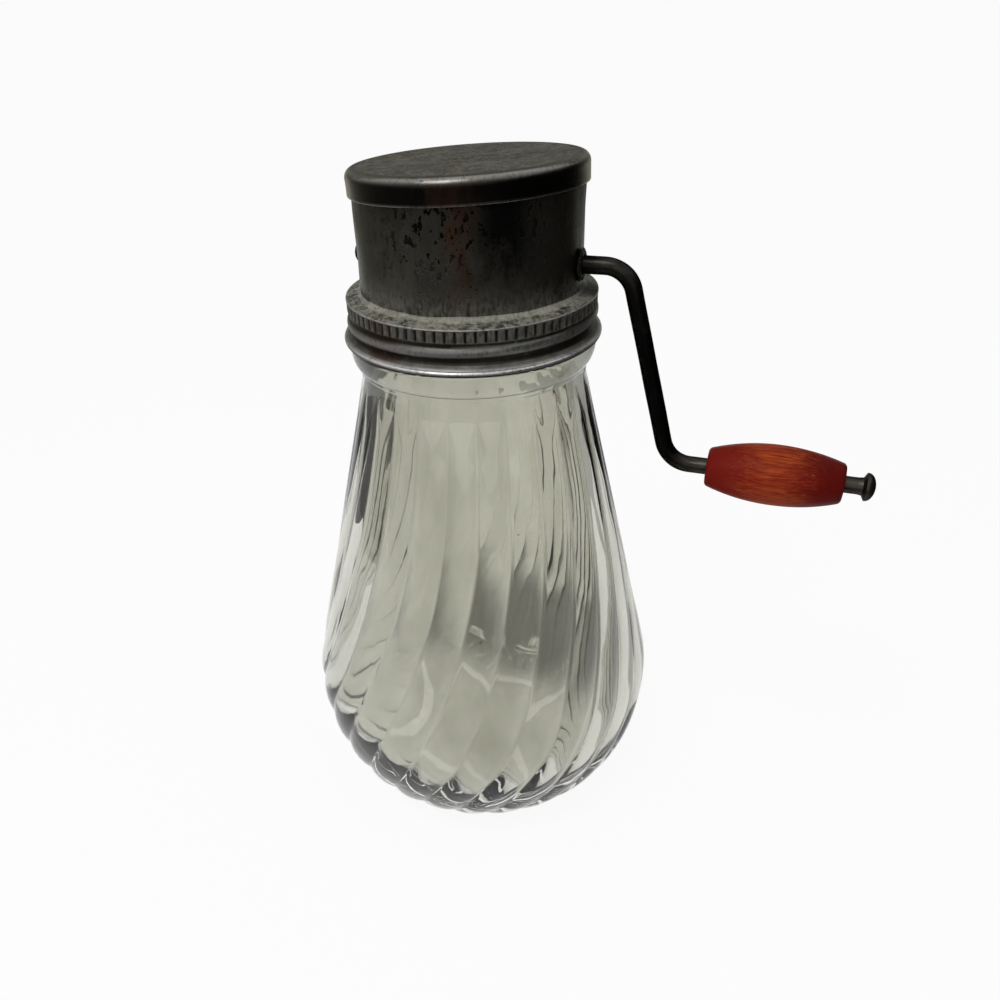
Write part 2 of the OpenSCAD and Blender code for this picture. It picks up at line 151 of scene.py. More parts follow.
def spread(outline: np.ndarray, step: float) -> np.ndarray:
    """Adds points along an outline's stretches so that none is longer than a step.

    Args:
        outline: Outline of shape (n, 2).
        step: Longest stretch that is left.

    Returns:
        Outline with the added points.
    """
    lengths = np.linalg.norm(np.diff(outline, axis=0), axis=1)
    counts = np.maximum(1, np.ceil(lengths / step).astype(int))
    places = np.concatenate([np.linspace(i, i + 1, n, endpoint=False) for i, n in enumerate(counts)])
    places = np.append(places, len(outline) - 1)
    index = np.arange(len(outline))
    return np.stack([np.interp(places, index, outline[:, axis]) for axis in (0, 1)], axis=-1)


def turn(columns: int) -> np.ndarray:
    """Angles in radians of the columns of a ring, evenly spaced."""
    return 2 * np.pi * np.arange(columns) / columns


def apart(angle: np.ndarray, middle: float) -> np.ndarray:
    """Degrees from -180 to 180 by which azimuths in radians lie ahead of a middle one in degrees."""
    return (np.degrees(angle) - middle + 180) % 360 - 180


def wobble(angle: np.ndarray, height: np.ndarray, seed: int, lobes: int, wave: float) -> np.ndarray:
    """Smooth unevenness of a handled or pressed surface: a sum of sine waves round and along the piece.

    Args:
        angle: Angles in radians, of any shape that goes with height.
        height: Heights in millimetres.
        seed: Seed of the waves' phases.
        lobes: Most waves round the piece.
        wave: Shortest wave along the height, in millimetres.

    Returns:
        Values of about -1 to 1.
    """
    draw = np.random.default_rng(seed)
    terms = 14
    shape = (terms,) + (1,) * np.broadcast(angle, height).ndim
    around = draw.integers(1, lobes + 1, terms).reshape(shape)
    along = draw.uniform(-2 * np.pi / wave, 2 * np.pi / wave, terms).reshape(shape)
    phase = draw.uniform(0, 2 * np.pi, terms).reshape(shape)
    return np.sum(np.sin(around * angle + along * height + phase), axis=0) / math.sqrt(terms)


def revolve(radii: np.ndarray, heights: np.ndarray, angles: np.ndarray) -> np.ndarray:
    """Rings round the Z axis: x and y are the radius times the cosine and sine of the angle.

    Args:
        radii: Radius of each point, of shape (rows, columns) or one that spreads to it.
        heights: Height of each point.
        angles: Angle of each point, in radians.

    Returns:
        Grid of shape (rows, columns, 3).
    """
    radii, heights, angles = np.broadcast_arrays(radii, heights, angles)
    return np.stack([radii * np.cos(angles), radii * np.sin(angles), heights], axis=-1)


def sweep(centres: np.ndarray, tangents: np.ndarray, first: Sequence[float], radii: np.ndarray) -> np.ndarray:
    """Rings along a path: a centre plus the radius times a turning direction square to the path.

    Args:
        centres: Ring centres of shape (rows, 3).
        tangents: Unit directions of the path at the rings.
        first: Direction square to every tangent, where each ring begins.
        radii: Radii of shape (rows, columns).

    Returns:
        Grid of shape (rows, columns, 3).
    """
    angle = turn(radii.shape[1])[None, :, None]
    start = np.asarray(first, float)[None, None, :]
    second = np.cross(tangents, np.asarray(first, float))[:, None, :]
    return centres[:, None, :] + radii[..., None] * (np.cos(angle) * start + np.sin(angle) * second)


def put_mesh(name: str, points: np.ndarray, faces: Sequence[np.ndarray]) -> bpy.types.Object:
    """Writes points and faces into a new object at the origin.

    Args:
        name: Name of the piece.
        points: Points in millimetres, of shape (n, 3).
        faces: Arrays of faces, each with its own number of corners.

    Returns:
        The new object, shaded smooth with its sharp edges kept.
    """
    mesh = bpy.data.meshes.new(name)
    sizes = np.concatenate([np.full(len(part), part.shape[1]) for part in faces])
    corners = np.concatenate([part.ravel() for part in faces])
    starts = np.concatenate([[0], np.cumsum(sizes)[:-1]])
    mesh.vertices.add(len(points))
    mesh.vertices.foreach_set("co", (points * MM).astype(np.float32).ravel())
    mesh.loops.add(len(corners))
    mesh.loops.foreach_set("vertex_index", corners.astype(np.int32))
    mesh.polygons.add(len(sizes))
    mesh.polygons.foreach_set("loop_start", starts.astype(np.int32))
    mesh.update(calc_edges=True)
    mesh.validate()
    mesh.shade_smooth()
    mesh.set_sharp_from_angle(angle=SHARP_ANGLE)
    made = bpy.data.objects.new(name, mesh)
    bpy.context.scene.collection.objects.link(made)
    return made


def skin(name: str, grid: np.ndarray, ends: Ends, marks: Optional[Mapping[str, np.ndarray]] = None,
         keep: Optional[np.ndarray] = None) -> bpy.types.Object:
    """Puts a skin on rings: four-sided faces between neighbours, and fans of triangles at closed poles.

    Args:
        name: Name of the piece.
        grid: Rings of shape (rows, columns, 3), in millimetres.
        ends: How the first and last rings are closed.
        marks: Values for the points of the grid, by the name of the attribute that a finish reads.
        keep: Marks of the faces between the rings that stay, of shape (rows - 1, columns).

    Returns:
        The new object.
    """
    rows, columns, _ = grid.shape
    index = np.arange(rows * columns).reshape(rows, columns)
    low = index if ends is Ends.LOOP else index[:-1]
    high = np.roll(index, -1, axis=0) if ends is Ends.LOOP else index[1:]
    quads = np.stack([low, np.roll(low, -1, axis=1), np.roll(high, -1, axis=1), high], axis=-1)
    quads = quads.reshape(-1, 4) if keep is None else quads[keep]
    used, corners = np.unique(quads, return_inverse=True)
    points = grid.reshape(-1, 3)[used]
    faces = [corners.reshape(-1, 4)]
    if ends is Ends.POLES:
        tips = np.stack([grid[0].mean(axis=0), grid[-1].mean(axis=0)])
        count = len(points)
        points = np.concatenate([points, tips])
        first, last = index[0], index[-1]
        faces.append(np.stack([np.full(columns, count), np.roll(first, -1), first], axis=-1))
        faces.append(np.stack([np.full(columns, count + 1), last, np.roll(last, -1)], axis=-1))
    piece = put_mesh(name, points, faces)
    for key, values in (marks or {}).items():
        held = np.zeros(len(points), np.float32)
        held[:len(used)] = np.broadcast_to(values, (rows, columns)).ravel()[used]
        piece.data.attributes.new(key, "FLOAT", "POINT").data.foreach_set("value", held)
    return piece


def place(piece: bpy.types.Object, body: Body, slot: Slot, material: bpy.types.Material, *nodes: str) -> None:
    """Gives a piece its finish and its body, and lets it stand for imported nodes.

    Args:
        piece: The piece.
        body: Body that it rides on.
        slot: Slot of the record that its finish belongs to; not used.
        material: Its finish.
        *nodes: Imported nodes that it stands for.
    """
    piece.data.materials.append(material)
    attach(piece, body.value)
    if nodes:
        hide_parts(*nodes)
    log.info("%s rides on %s, %d faces", piece.name, body.value, len(piece.data.polygons))


def dress_node(name: str, material: bpy.types.Material) -> None:
    """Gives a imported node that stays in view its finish.

    Args:
        name: Name of the node.
        material: Its finish.
    """
    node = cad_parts[name]
    if not node.material_slots:
        node.data.materials.append(material)
    for held in node.material_slots:
        held.material = material
    log.info("%s keeps its solid", name)


class Value:
    """A number socket of a shader. Arithmetic on it adds Math nodes."""

    def __init__(self, sheet: "NodeSheet", socket: bpy.types.NodeSocket) -> None:
        """Holds the sheet that the socket's node is on, and the socket."""
        self.sheet = sheet
        self.socket = socket

    def __add__(self, other: "Term") -> "Value":
        """This value plus another."""
        return self.sheet.math("ADD", self, other)

    def __sub__(self, other: "Term") -> "Value":
        """This value less another."""
        return self.sheet.math("SUBTRACT", self, other)

    def __rsub__(self, other: "Term") -> "Value":
        """Another value less this one."""
        return self.sheet.math("SUBTRACT", other, self)

    def __mul__(self, other: "Term") -> "Value":
        """This value times another."""
        return self.sheet.math("MULTIPLY", self, other)

    def __truediv__(self, other: "Term") -> "Value":
        """This value over another."""
        return self.sheet.math("DIVIDE", self, other)

    __radd__ = __add__
    __rmul__ = __mul__

    def absolute(self) -> "Value":
        """This value without its sign."""
        return self.sheet.math("ABSOLUTE", self)

    def most(self, other: "Term") -> "Value":
        """The greater of this value and another."""
        return self.sheet.math("MAXIMUM", self, other)

    def rise(self, low: float, high: float) -> "Value":
        """Smooth step from 0 at low to 1 at high, or back down where low is the greater.

        Args:
            low: Value at which the step is 0.
            high: Value at which the step is 1.

        Returns:
            The step.
        """
        settings = {"interpolation_type": "SMOOTHSTEP"}
        inputs = {"Value": self, "From Min": low, "From Max": high}
        return Value(self.sheet, self.sheet.node("ShaderNodeMapRange", settings, inputs).outputs["Result"])


Term = Union[Value, float]


class NodeSheet:
    """A shader's node tree, with short ways to add the nodes that the finishes use."""

    def __init__(self, tree: bpy.types.NodeTree) -> None:
        """Clears a node tree and holds it."""
        self.tree = tree
        self.tree.nodes.clear()

    @classmethod
    def of_material(cls, name: str) -> tuple["NodeSheet", bpy.types.Material]:
        """Makes a material with a cleared sheet.

        Args:
            name: Name of the material.

        Returns:
            The sheet and the material.
        """
        material = bpy.data.materials.new(name)
        material.use_nodes = True
        return cls(material.node_tree), material

    def node(self, kind: str, settings: Optional[dict] = None,
             inputs: Optional[dict] = None) -> bpy.types.Node:
        """Adds a node, sets it up and then fills or links its sockets.

        Args:
            kind: Blender's name for the node's type.
            settings: Properties of the node.
            inputs: Values, sockets or wrapped sockets, by the name or number of the input.

        Returns:
            The new node.
        """
        made = self.tree.nodes.new(kind)
        for key, setting in (settings or {}).items():
            setattr(made, key, setting)
        for key, given in (inputs or {}).items():
            given = given.socket if isinstance(given, Value) else given
            if isinstance(given, bpy.types.NodeSocket):
                self.tree.links.new(given, made.inputs[key])
            else:
                made.inputs[key].default_value = given
        return made

    def math(self, operation: str, *terms: Term) -> Value:
        """Math node of an operation on one or two terms."""
        made = self.node("ShaderNodeMath", {"operation": operation}, dict(enumerate(terms)))
        return Value(self, made.outputs[0])

    def spot(self, stretch: Sequence[float] = (1, 1, 1)) -> bpy.types.NodeSocket:
        """The surface point in millimetres, times a stretch along each axis.

        Args:
            stretch: Factors along the axes.

        Returns:
            Socket of the point.
        """
        point = self.node("ShaderNodeTexCoord").outputs["Object"]
        scale = tuple(s / MM for s in stretch)
        return self.node("ShaderNodeVectorMath", {"operation": "MULTIPLY"}, {0: point, 1: scale}).outputs[0]

    def axes(self) -> tuple[Value, Value, Value]:
        """The surface point's three coordinates in millimetres."""
        parts = self.node("ShaderNodeSeparateXYZ", inputs={0: self.spot()}).outputs
        return Value(self, parts[0]), Value(self, parts[1]), Value(self, parts[2])

    def noise(self, size: float, detail: float = 4, stretch: Sequence[float] = (1, 1, 1)) -> Value:
        """Cloudy noise from 0 to 1, with features of about a size in millimetres."""
        inputs = {"Vector": self.spot(stretch), "Scale": 1 / size, "Detail": detail, "Roughness": 0.6}
        return Value(self, self.node("ShaderNodeTexNoise", inputs=inputs).outputs[0])

    def specks(self, size: float, share: float, radius: float, stretch: Sequence[float] = (1, 1, 1)) -> Value:
        """Scattered spots: 1 in the middle of some of the cells of a given size, 0 elsewhere.

        Args:
            size: Size of a cell in millimetres.
            share: Share of the cells that hold a spot.
            radius: Radius of a spot, as a share of the cell.
            stretch: Stretch of the pattern along the axes.

        Returns:
            The spots as a mask.
        """
        inputs = {"Vector": self.spot(stretch), "Scale": 1 / size}
        cells = self.node("ShaderNodeTexVoronoi", inputs=inputs)
        draw = self.node("ShaderNodeSeparateColor", inputs={0: cells.outputs["Color"]}).outputs
        near = Value(self, cells.outputs["Distance"]).rise(radius, radius * 0.55)
        return near * Value(self, draw[0]).rise(1 - share - 0.01, 1 - share + 0.01)

    def attribute(self, name: str) -> Value:
        """A value that the piece stores for each point."""
        return Value(self, self.node("ShaderNodeAttribute", {"attribute_name": name}).outputs["Fac"])

    def mix(self, share: Term, first: Union[Colour, bpy.types.NodeSocket],
            second: Union[Colour, bpy.types.NodeSocket]) -> bpy.types.NodeSocket:
        """Colour between two: the first where share is 0 and the second where it is 1.

        Args:
            share: Share of the second colour.
            first: First colour, or its socket.
            second: Second colour, or its socket.

        Returns:
            Socket of the colour.
        """
        first, second = ((*c, 1) if isinstance(c, tuple) else c for c in (first, second))
        settings = {"data_type": "RGBA", "clamp_factor": True}
        return self.node("ShaderNodeMix", settings, {0: share, 6: first, 7: second}).outputs[2]

    def bump(self, height: Value, depth: float) -> bpy.types.NodeSocket:
        """Normal of a surface raised by a height of 0 to 1 times a depth in millimetres."""
        inputs = {"Height": height, "Distance": depth * MM, "Strength": 1}
        return self.node("ShaderNodeBump", inputs=inputs).outputs["Normal"]

    def surface(self, **inputs: object) -> None:
        """Makes a principled surface the output.

        Args:
            **inputs: Inputs of the surface, with an underscore for each space of a name.
        """
        named = {key.replace("_", " "): given for key, given in inputs.items()}
        shader = self.node("ShaderNodeBsdfPrincipled", inputs=named)
        self.node("ShaderNodeOutputMaterial", inputs={"Surface": shader.outputs[0]})


@dataclass(frozen=True)
class Glass:
    """Clear pressed glass with a faint grey cast, a thin uneven film and a few specks in it."""

    name: str = "pressed_glass"
    clear: Colour = (0.742, 0.740, 0.672)
    hazy: Colour = (0.61, 0.608, 0.54)
    speck: Colour = (0.05, 0.045, 0.04)
    refraction: float = 1.5
    film_size: float = 24
    speck_cell: float = 7
    ripple_size: float = 9
    ripple_depth: float = 0.07

    def material(self) -> bpy.types.Material:
        """Builds the finish.

        Returns:
            The material.
        """
        sheet, material = NodeSheet.of_material(self.name)
        haze = sheet.noise(self.film_size, 3, (1, 1, 0.35)).rise(0.35, 0.75)
        colour = sheet.mix(haze, self.clear, self.hazy)
        seeds = sheet.specks(self.speck_cell, 0.10, 0.055)
        colour = sheet.mix(seeds, colour, self.speck)
        ripple = sheet.noise(self.ripple_size, 2, (1, 1, 0.3))
        sheet.surface(Base_Color=colour, Roughness=haze * 0.04 + 0.015, IOR=self.refraction,
                      Transmission_Weight=1.0, Normal=sheet.bump(ripple, self.ripple_depth))
        return material


@dataclass(frozen=True)
class Tin:
    """Old tinplate: grey metal under tarnish, with rust, a black band of stain and painted dark reflection,
    pits, dust, dirt and worn edges.

    The pieces mark where they are rubbed, dusty or dirty; on the cap these marks also hold painted highlights
    and painted shade.
    Rust and the black band follow the azimuth round the axis, and the metal darkens and pits thicken from
    low_z up to high_z.
    """

    name: str
    clean: Colour
    tarnish: Colour
    tarnish_share: tuple[float, float] = (0.42, 0.80)
    low_z: float = -2.0
    high_z: float = -1.0
    rust: Colour = (0.042, 0.020, 0.012)
    rust_at: float = -74
    rust_half: float = 8
    rust_amount: float = 0.0
    # The black band's azimuth, half width and amount: real stain and a painted dark reflection.
    stain_and_dark_reflection_at: float = -55
    stain_and_dark_reflection_half: float = 11
    stain_and_dark_reflection_amount: float = 0.0
    black: Colour = (0.003, 0.003, 0.003)
    pit_amount: float = 0.0
    worn: Colour = (0.42, 0.42, 0.41)
    dust: Colour = (0.35, 0.34, 0.28)
    grime_and_shade: Colour = (0.012, 0.010, 0.007)
    edge: Colour = (0.6, 0.6, 0.57)
    metallic: float = 0.9
    smooth: float = 0.24
    dull: float = 0.45
    cloud_size: float = 11
    grain_size: float = 0.8
    streak_size: float = 2.2
    bloom_size: float = 3.2
    blot_size: float = 1.3
    pit_cell: float = 0.9
    relief: float = 0.08

    def material(self) -> bpy.types.Material:
        """Builds the finish.

        Returns:
            The material.
        """
        sheet, material = NodeSheet.of_material(self.name)
        x, y, z = sheet.axes()
        azimuth = sheet.math("ARCTAN2", y, x) * (180 / math.pi)
        upper = z.rise(self.low_z, self.high_z)
        cloud = sheet.noise(self.cloud_size, 6, (1, 1, 0.7))
        grain = sheet.noise(self.grain_size, 4, (1, 1, 0.5))
        streak = sheet.noise(self.streak_size, 4, (1, 1, 0.12))
        bloom = sheet.noise(self.bloom_size, 6, (1, 1, 0.45))
        # Tarnish is uneven at random, and through upper it is darker towards the top, from low_z up to
        # high_z.
        tarnish = (cloud * 0.6 + streak * 0.25 + upper * 0.25).rise(*self.tarnish_share)
        colour = sheet.mix(tarnish, self.clean, self.tarnish)
        colour = sheet.mix(grain.rise(0.55, 0.8) * 0.5, colour, self.tarnish)
        band = (azimuth - self.rust_at).absolute().rise(2.6 * self.rust_half, 0.2 * self.rust_half)
        rust = (band * 0.45 + bloom * 0.7 + grain * 0.35 + upper * 0.1).rise(0.82, 1.15) * self.rust_amount
        colour = sheet.mix(rust, colour, self.rust)
        # Black band at a fixed azimuth, heavier towards the top: real stain and a painted dark reflection.
        stripe = (azimuth - self.stain_and_dark_reflection_at).absolute().rise(2.0 * self.stain_and_dark_reflection_half, 0.2 * self.stain_and_dark_reflection_half)
        stain_and_dark_reflection = stripe * (upper * 0.45 + bloom * 0.8).rise(0.35, 0.75) * self.stain_and_dark_reflection_amount
        colour = sheet.mix(stain_and_dark_reflection, colour, self.black)
        # This mark is real rubbing, and on the cap's curl and rolled thread also a painted highlight.
        wear_and_sheen = sheet.attribute("wear_and_sheen") * (grain * 0.7 + cloud * 0.6).rise(0.35, 0.7)
        colour = sheet.mix(wear_and_sheen, colour, self.worn)
        dust = sheet.attribute("dust") * (grain * 0.6 + cloud * 0.25 + bloom * 0.4).rise(0.47, 0.74)
        colour = sheet.mix(dust, colour, self.dust)
        # This mark is real dirt, and on the cap also painted shade in the groove and under the curl.
        grime_and_shade = sheet.attribute("grime_and_shade") * (bloom * 0.7 + grain * 0.5).rise(0.3, 0.6)
        colour = sheet.mix(grime_and_shade, colour, self.grime_and_shade)
        zone = (azimuth - self.rust_at).absolute().rise(60, 18) * (upper * 0.5 + cloud * 0.8).rise(0.40, 0.80)
        blots = sheet.noise(self.blot_size, 4, (1, 1, 0.65)).rise(0.545, 0.585) * zone
        fine = sheet.specks(self.pit_cell, 0.40, 0.32, (1, 1, 0.8)) * bloom.rise(0.44, 0.58)
        pits = blots.most(fine * 0.85) * self.pit_amount
        colour = sheet.mix(pits, colour, self.black)
        base_rough = tarnish * (self.dull - self.smooth) + self.smooth
        rough = base_rough + grain * 0.12 + rust * 0.2 + dust * 0.3 - wear_and_sheen * 0.13
        height = grain * 0.25 - pits + rust * 0.3 + grime_and_shade * 0.4
        sheet.surface(Base_Color=colour, Metallic=self.metallic - dust * (self.metallic * 0.8),
                      Roughness=rough.most(pits * 0.7), Specular_Tint=(*self.edge, 1),
                      Normal=sheet.bump(height, self.relief))
        return material


@dataclass(frozen=True)
class Steel:
    """Bare or darkened steel, with fine drawn lines along it and brighter rubbed patches.

    A piece may mark where it is brighter: rubbed by handling, and on the rod also painted sheen at its bends.
    """

    name: str
    dark: Colour
    rubbed: Colour
    rubbed_share: tuple[float, float] = (0.55, 0.8)
    lines: tuple[float, float, float] = (0.15, 1, 1)
    bright: Colour = (0.060, 0.052, 0.043)
    edge: Colour = (0.4, 0.4, 0.4)
    metallic: float = 0.9
    roughness: float = 0.22
    line_size: float = 0.7
    patch_size: float = 6
    relief: float = 0.06

    def material(self) -> bpy.types.Material:
        """Builds the finish.

        Returns:
            The material.
        """
        sheet, material = NodeSheet.of_material(self.name)
        line = sheet.noise(self.line_size, 4, self.lines)
        patch = sheet.noise(self.patch_size, 5)
        rubbed = (patch * 0.75 + line * 0.25).rise(*self.rubbed_share)
        colour = sheet.mix(rubbed, self.dark, self.rubbed)
        colour = sheet.mix(line.rise(0.58, 0.8) * 0.6, colour, self.dark)
        # This mark also carries the rod's painted sheen.
        wear_and_sheen = sheet.attribute("wear_and_sheen") * (patch * 0.8 + line * 0.5).rise(0.35, 0.75)
        colour = sheet.mix(wear_and_sheen, colour, self.bright)
        sheet.surface(Base_Color=colour, Metallic=self.metallic, Specular_Tint=(*self.edge, 1),
                      Roughness=patch * 0.16 + line * 0.1 + self.roughness,
                      Normal=sheet.bump(line * 0.5 + patch, self.relief))
        return material


@dataclass(frozen=True)
class Grease:
    """Black dried grease and scale round a bush."""

    name: str = "bush_grease"
    black: Colour = (0.004, 0.0035, 0.003)
    brown: Colour = (0.016, 0.010, 0.006)
    lump_size: float = 0.9
    relief: float = 0.25

    def material(self) -> bpy.types.Material:
        """Builds the finish.

        Returns:
            The material.
        """
        sheet, material = NodeSheet.of_material(self.name)
        lump = sheet.noise(self.lump_size, 5)
        colour = sheet.mix(lump.rise(0.5, 0.75), self.black, self.brown)
        sheet.surface(Base_Color=colour, Metallic=0.0, Roughness=lump * 0.3 + 0.45, Specular_IOR_Level=0.15,
                      Normal=sheet.bump(lump, self.relief))
        return material


@dataclass(frozen=True)
class Lacquer:
    """Red lacquer on turned wood, rubbed through to orange along the grain in the middle of its length."""

    middle: float
    half: float
    name: str = "red_lacquer"
    red: Colour = (0.165, 0.010, 0.006)
    deep: Colour = (0.085, 0.0035, 0.0025)
    bare: Colour = (0.42, 0.080, 0.019)
    chip: Colour = (0.55, 0.36, 0.26)
    grain_size: float = 0.34
    broad_size: float = 2.6
    patch_size: float = 6
    chip_cell: float = 2.8
    relief: float = 0.10

    def material(self) -> bpy.types.Material:
        """Builds the finish.

        Returns:
            The material.
        """
        sheet, material = NodeSheet.of_material(self.name)
        x, _, _ = sheet.axes()
        along = (x - self.middle) / self.half
        away = along.absolute()
        grain = sheet.noise(self.grain_size, 3, (0.045, 1, 1))
        broad = sheet.noise(self.broad_size, 2, (0.12, 1, 1))
        patch = sheet.noise(self.patch_size, 4, (0.6, 1, 1))
        colour = sheet.mix((patch * 0.5 + along * 0.4 + 0.1).rise(0.2, 0.75), self.red, self.deep)
        zone = away.rise(0.95, 0.1)
        rub = (grain * 0.75 + broad * 0.25 + patch * 0.3 + zone * 0.18).rise(0.63, 1.12) * zone
        colour = sheet.mix(rub, colour, self.bare)
        chips = sheet.specks(self.chip_cell, 0.03, 0.07, (0.6, 1, 1))
        colour = sheet.mix(chips, colour, self.chip)
        rough = grain * 0.18 + rub * 0.16 + 0.30
        sheet.surface(Base_Color=colour, Roughness=rough, Specular_IOR_Level=0.035,
                      Normal=sheet.bump(grain * 0.6 - rub * 0.5, self.relief))
        return material


@dataclass(frozen=True)
class Thread:
    """One turn of a screw thread round the Z axis: a half round that climbs by its pitch in a turn.

    Its middle is at the given level where it faces the front, and it runs out at both ends.
    """

    level: float
    thick: float
    pitch: float = 2.6
    front: float = -70.0
    reach: float = 175.0
    fade: float = 40.0

    def middle(self, angle: np.ndarray) -> np.ndarray:
        """Height of the thread's middle at azimuths in radians."""
        return self.level + self.pitch * apart(angle, self.front) / 360

    def bulge(self, angle: np.ndarray, height: np.ndarray) -> np.ndarray:
        """Half round across the thread: 1 on its middle and 0 beyond its edges."""
        off = (height - self.middle(angle)) / (self.thick / 2)
        return np.sqrt(np.clip(1 - off ** 2, 0, 1))

    def runout(self, angle: np.ndarray) -> np.ndarray:
        """Share of the full height: 1 along most of the turn, falling to 0 at its ends."""
        return np.clip((self.reach - np.abs(apart(angle, self.front))) / self.fade, 0, 1)


@dataclass
class GlassJar:
    """Pear-shaped jar with round ribs that swirl towards the base, and the neck that the cap goes over."""

    belly_r: float = 52.79
    belly_z: float = 36.9
    belly_arc_r: float = 36.0
    base_r: float = 28.9
    waist_r: float = 29.9
    rib_count: int = 26
    groove_depth: float = 1.1
    groove_arch: float = 9.0
    groove_foot: float = 2.0
    crest_round: float = 0.12
    swirl_from: float = 120.0
    swirl_turn: float = 48.0
    wall: float = 3.6
    base_t: float = 6.5
    kick_up: float = 1.3
    band_step: float = 0.3
    band_h: float = 1.2
    waist_h: float = 3.5
    bead_r: float = 32.3
    bead_h: float = 6.0
    bead_gap: float = 0.35
    finish_r: float = 30.2
    rim_round: float = 0.8
    thread_up: float = 4.35
    thread_h: float = 2.2
    thread_depth: float = 0.5
    thread_clear: float = 0.9
    uneven_depth: float = 0.22
    uneven_h: float = 80.0
    pole_r: float = 2.0
    foot_w: float = 4.0
    cone_step: float = 2.1
    finish_step: float = 0.4
    inside_step: float = 2.8
    rim_z: float = field(default_factory=lambda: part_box("glass_jar")[1].z / MM)
    cap_low: float = field(default_factory=lambda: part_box("screw_cap")[0].z / MM)
    across: int = 14

    def __post_init__(self) -> None:
        """Works out the heights of the neck and the cone that touches the belly's arc."""
        self.bead_z = self.cap_low - self.bead_gap
        self.band_z = self.bead_z - self.bead_h
        self.body_z = self.band_z - self.band_h
        self.cone_z = self.body_z - self.waist_h
        self.arc_x = self.belly_r - self.belly_arc_r
        reach, rise = self.waist_r - self.arc_x, self.cone_z - self.belly_z
        touch = math.acos(self.belly_arc_r / math.hypot(reach, rise))
        self.cone_angle = math.degrees(math.atan2(rise, reach) - touch)
        self.thread = Thread(self.cap_low + self.thread_up, self.thread_h)

    def outside(self) -> np.ndarray:
        """Outline over the ribs' crests, from near the base's centre up to the rim and over it.

        The base is hollowed by a parabola, an elliptical arc leads up to the belly, a round arc over it and a
        straight cone up to the waist.

        Returns:
            Outline of shape (n, 2), as radius and height.
        """
        hollow = np.linspace(self.pole_r, self.base_r - self.foot_w, 12)
        rise = self.kick_up * (1 - (hollow / hollow[-1]) ** 2)
        base = np.concatenate([np.stack([hollow, rise], axis=-1), [[self.base_r - self.foot_w / 2, 0.0]]])
        low = arc((self.base_r, self.belly_z), (self.belly_r - self.base_r, self.belly_z), -90, 0, 40)
        belt = arc((self.arc_x, self.belly_z), (self.belly_arc_r, self.belly_arc_r), 0, self.cone_angle, 10)
        cone = spread(np.array([belt[-1], [self.waist_r, self.cone_z]]), self.cone_step)
        band_r = self.waist_r + self.band_step
        bead = arc((band_r, self.bead_z), (self.bead_r - band_r, self.bead_h), -75, -8, 7)
        neck = soften(np.concatenate([
            [[self.waist_r, self.body_z - 0.5], [self.waist_r, self.body_z], [band_r, self.body_z + 0.15],
             [band_r, self.band_z]], bead,
            [[self.bead_r, self.bead_z], [self.finish_r, self.bead_z + 0.3],
             [self.finish_r, self.bead_z + self.thread_clear]]]), 0.25, 3)
        top = [self.finish_r, self.rim_z - self.rim_round]
        finish = spread(np.array([neck[-1], top]), self.finish_step)
        rim = arc((self.finish_r - self.rim_round, self.rim_z - self.rim_round),
                  (self.rim_round, self.rim_round), 5, 90, 7)
        return np.concatenate([base, low, belt[1:], cone[1:], neck, finish[1:], rim])

    def inside(self) -> np.ndarray:
        """Outline of the cavity, from the rim down to near the floor's centre.

        Returns:
            Outline of shape (n, 2), as radius and height.
        """
        mouth = self.waist_r - self.wall
        rim = arc((mouth + self.rim_round, self.rim_z - self.rim_round),
                  (self.rim_round, self.rim_round), 95, 180, 7)
        inner = self.belly_arc_r - self.wall
        belt = arc((self.arc_x, self.belly_z), (inner, inner), self.cone_angle, 0, 8)
        bowl = arc((self.base_r - self.wall, self.belly_z),
                   (self.belly_r - self.base_r, self.belly_z - self.base_t), 0, -90, 32)
        neck = spread(np.array([rim[-1], [mouth, self.cone_z], belt[0]]), self.inside_step)
        floor = np.array([[16, self.base_t], [8, self.base_t], [self.pole_r, self.base_t]])
        return np.concatenate([rim, neck[1:], belt[1:], bowl[1:], floor])

    def groove(self, share: np.ndarray, height: np.ndarray, radius: np.ndarray) -> np.ndarray:
        """Depth below a rib's crest: a parabola across the rib that grows with the radius and tapers out.

        Args:
            share: Place across the rib, from -0.5 to 0.5, with the grooves at both ends.
            height: Height of the point.
            radius: Radius over the crests at that height.

        Returns:
            Depth below the crests.
        """
        from_top, from_foot = (self.cone_z - height) / self.groove_arch, height / self.groove_foot
        opened = np.clip(np.minimum(from_top, from_foot), 0, 1)
        fall = opened - 1 + 4 * share ** 2
        soft = np.sqrt(fall ** 2 + (self.crest_round * opened) ** 2)
        return self.groove_depth * radius / self.belly_r * 0.5 * (fall + soft)

    def thread_rise(self, angle: np.ndarray, height: np.ndarray) -> np.ndarray:
        """Height of the neck's thread above the plain glass.

        Args:
            angle: Azimuths in radians.
            height: Heights of the rows.

        Returns:
            The height, 0 away from the neck.
        """
        on_neck = (height > self.bead_z + self.thread_clear) & (height < self.rim_z - self.rim_round)
        return self.thread_depth * self.thread.bulge(angle, height) * self.thread.runout(angle) * on_neck

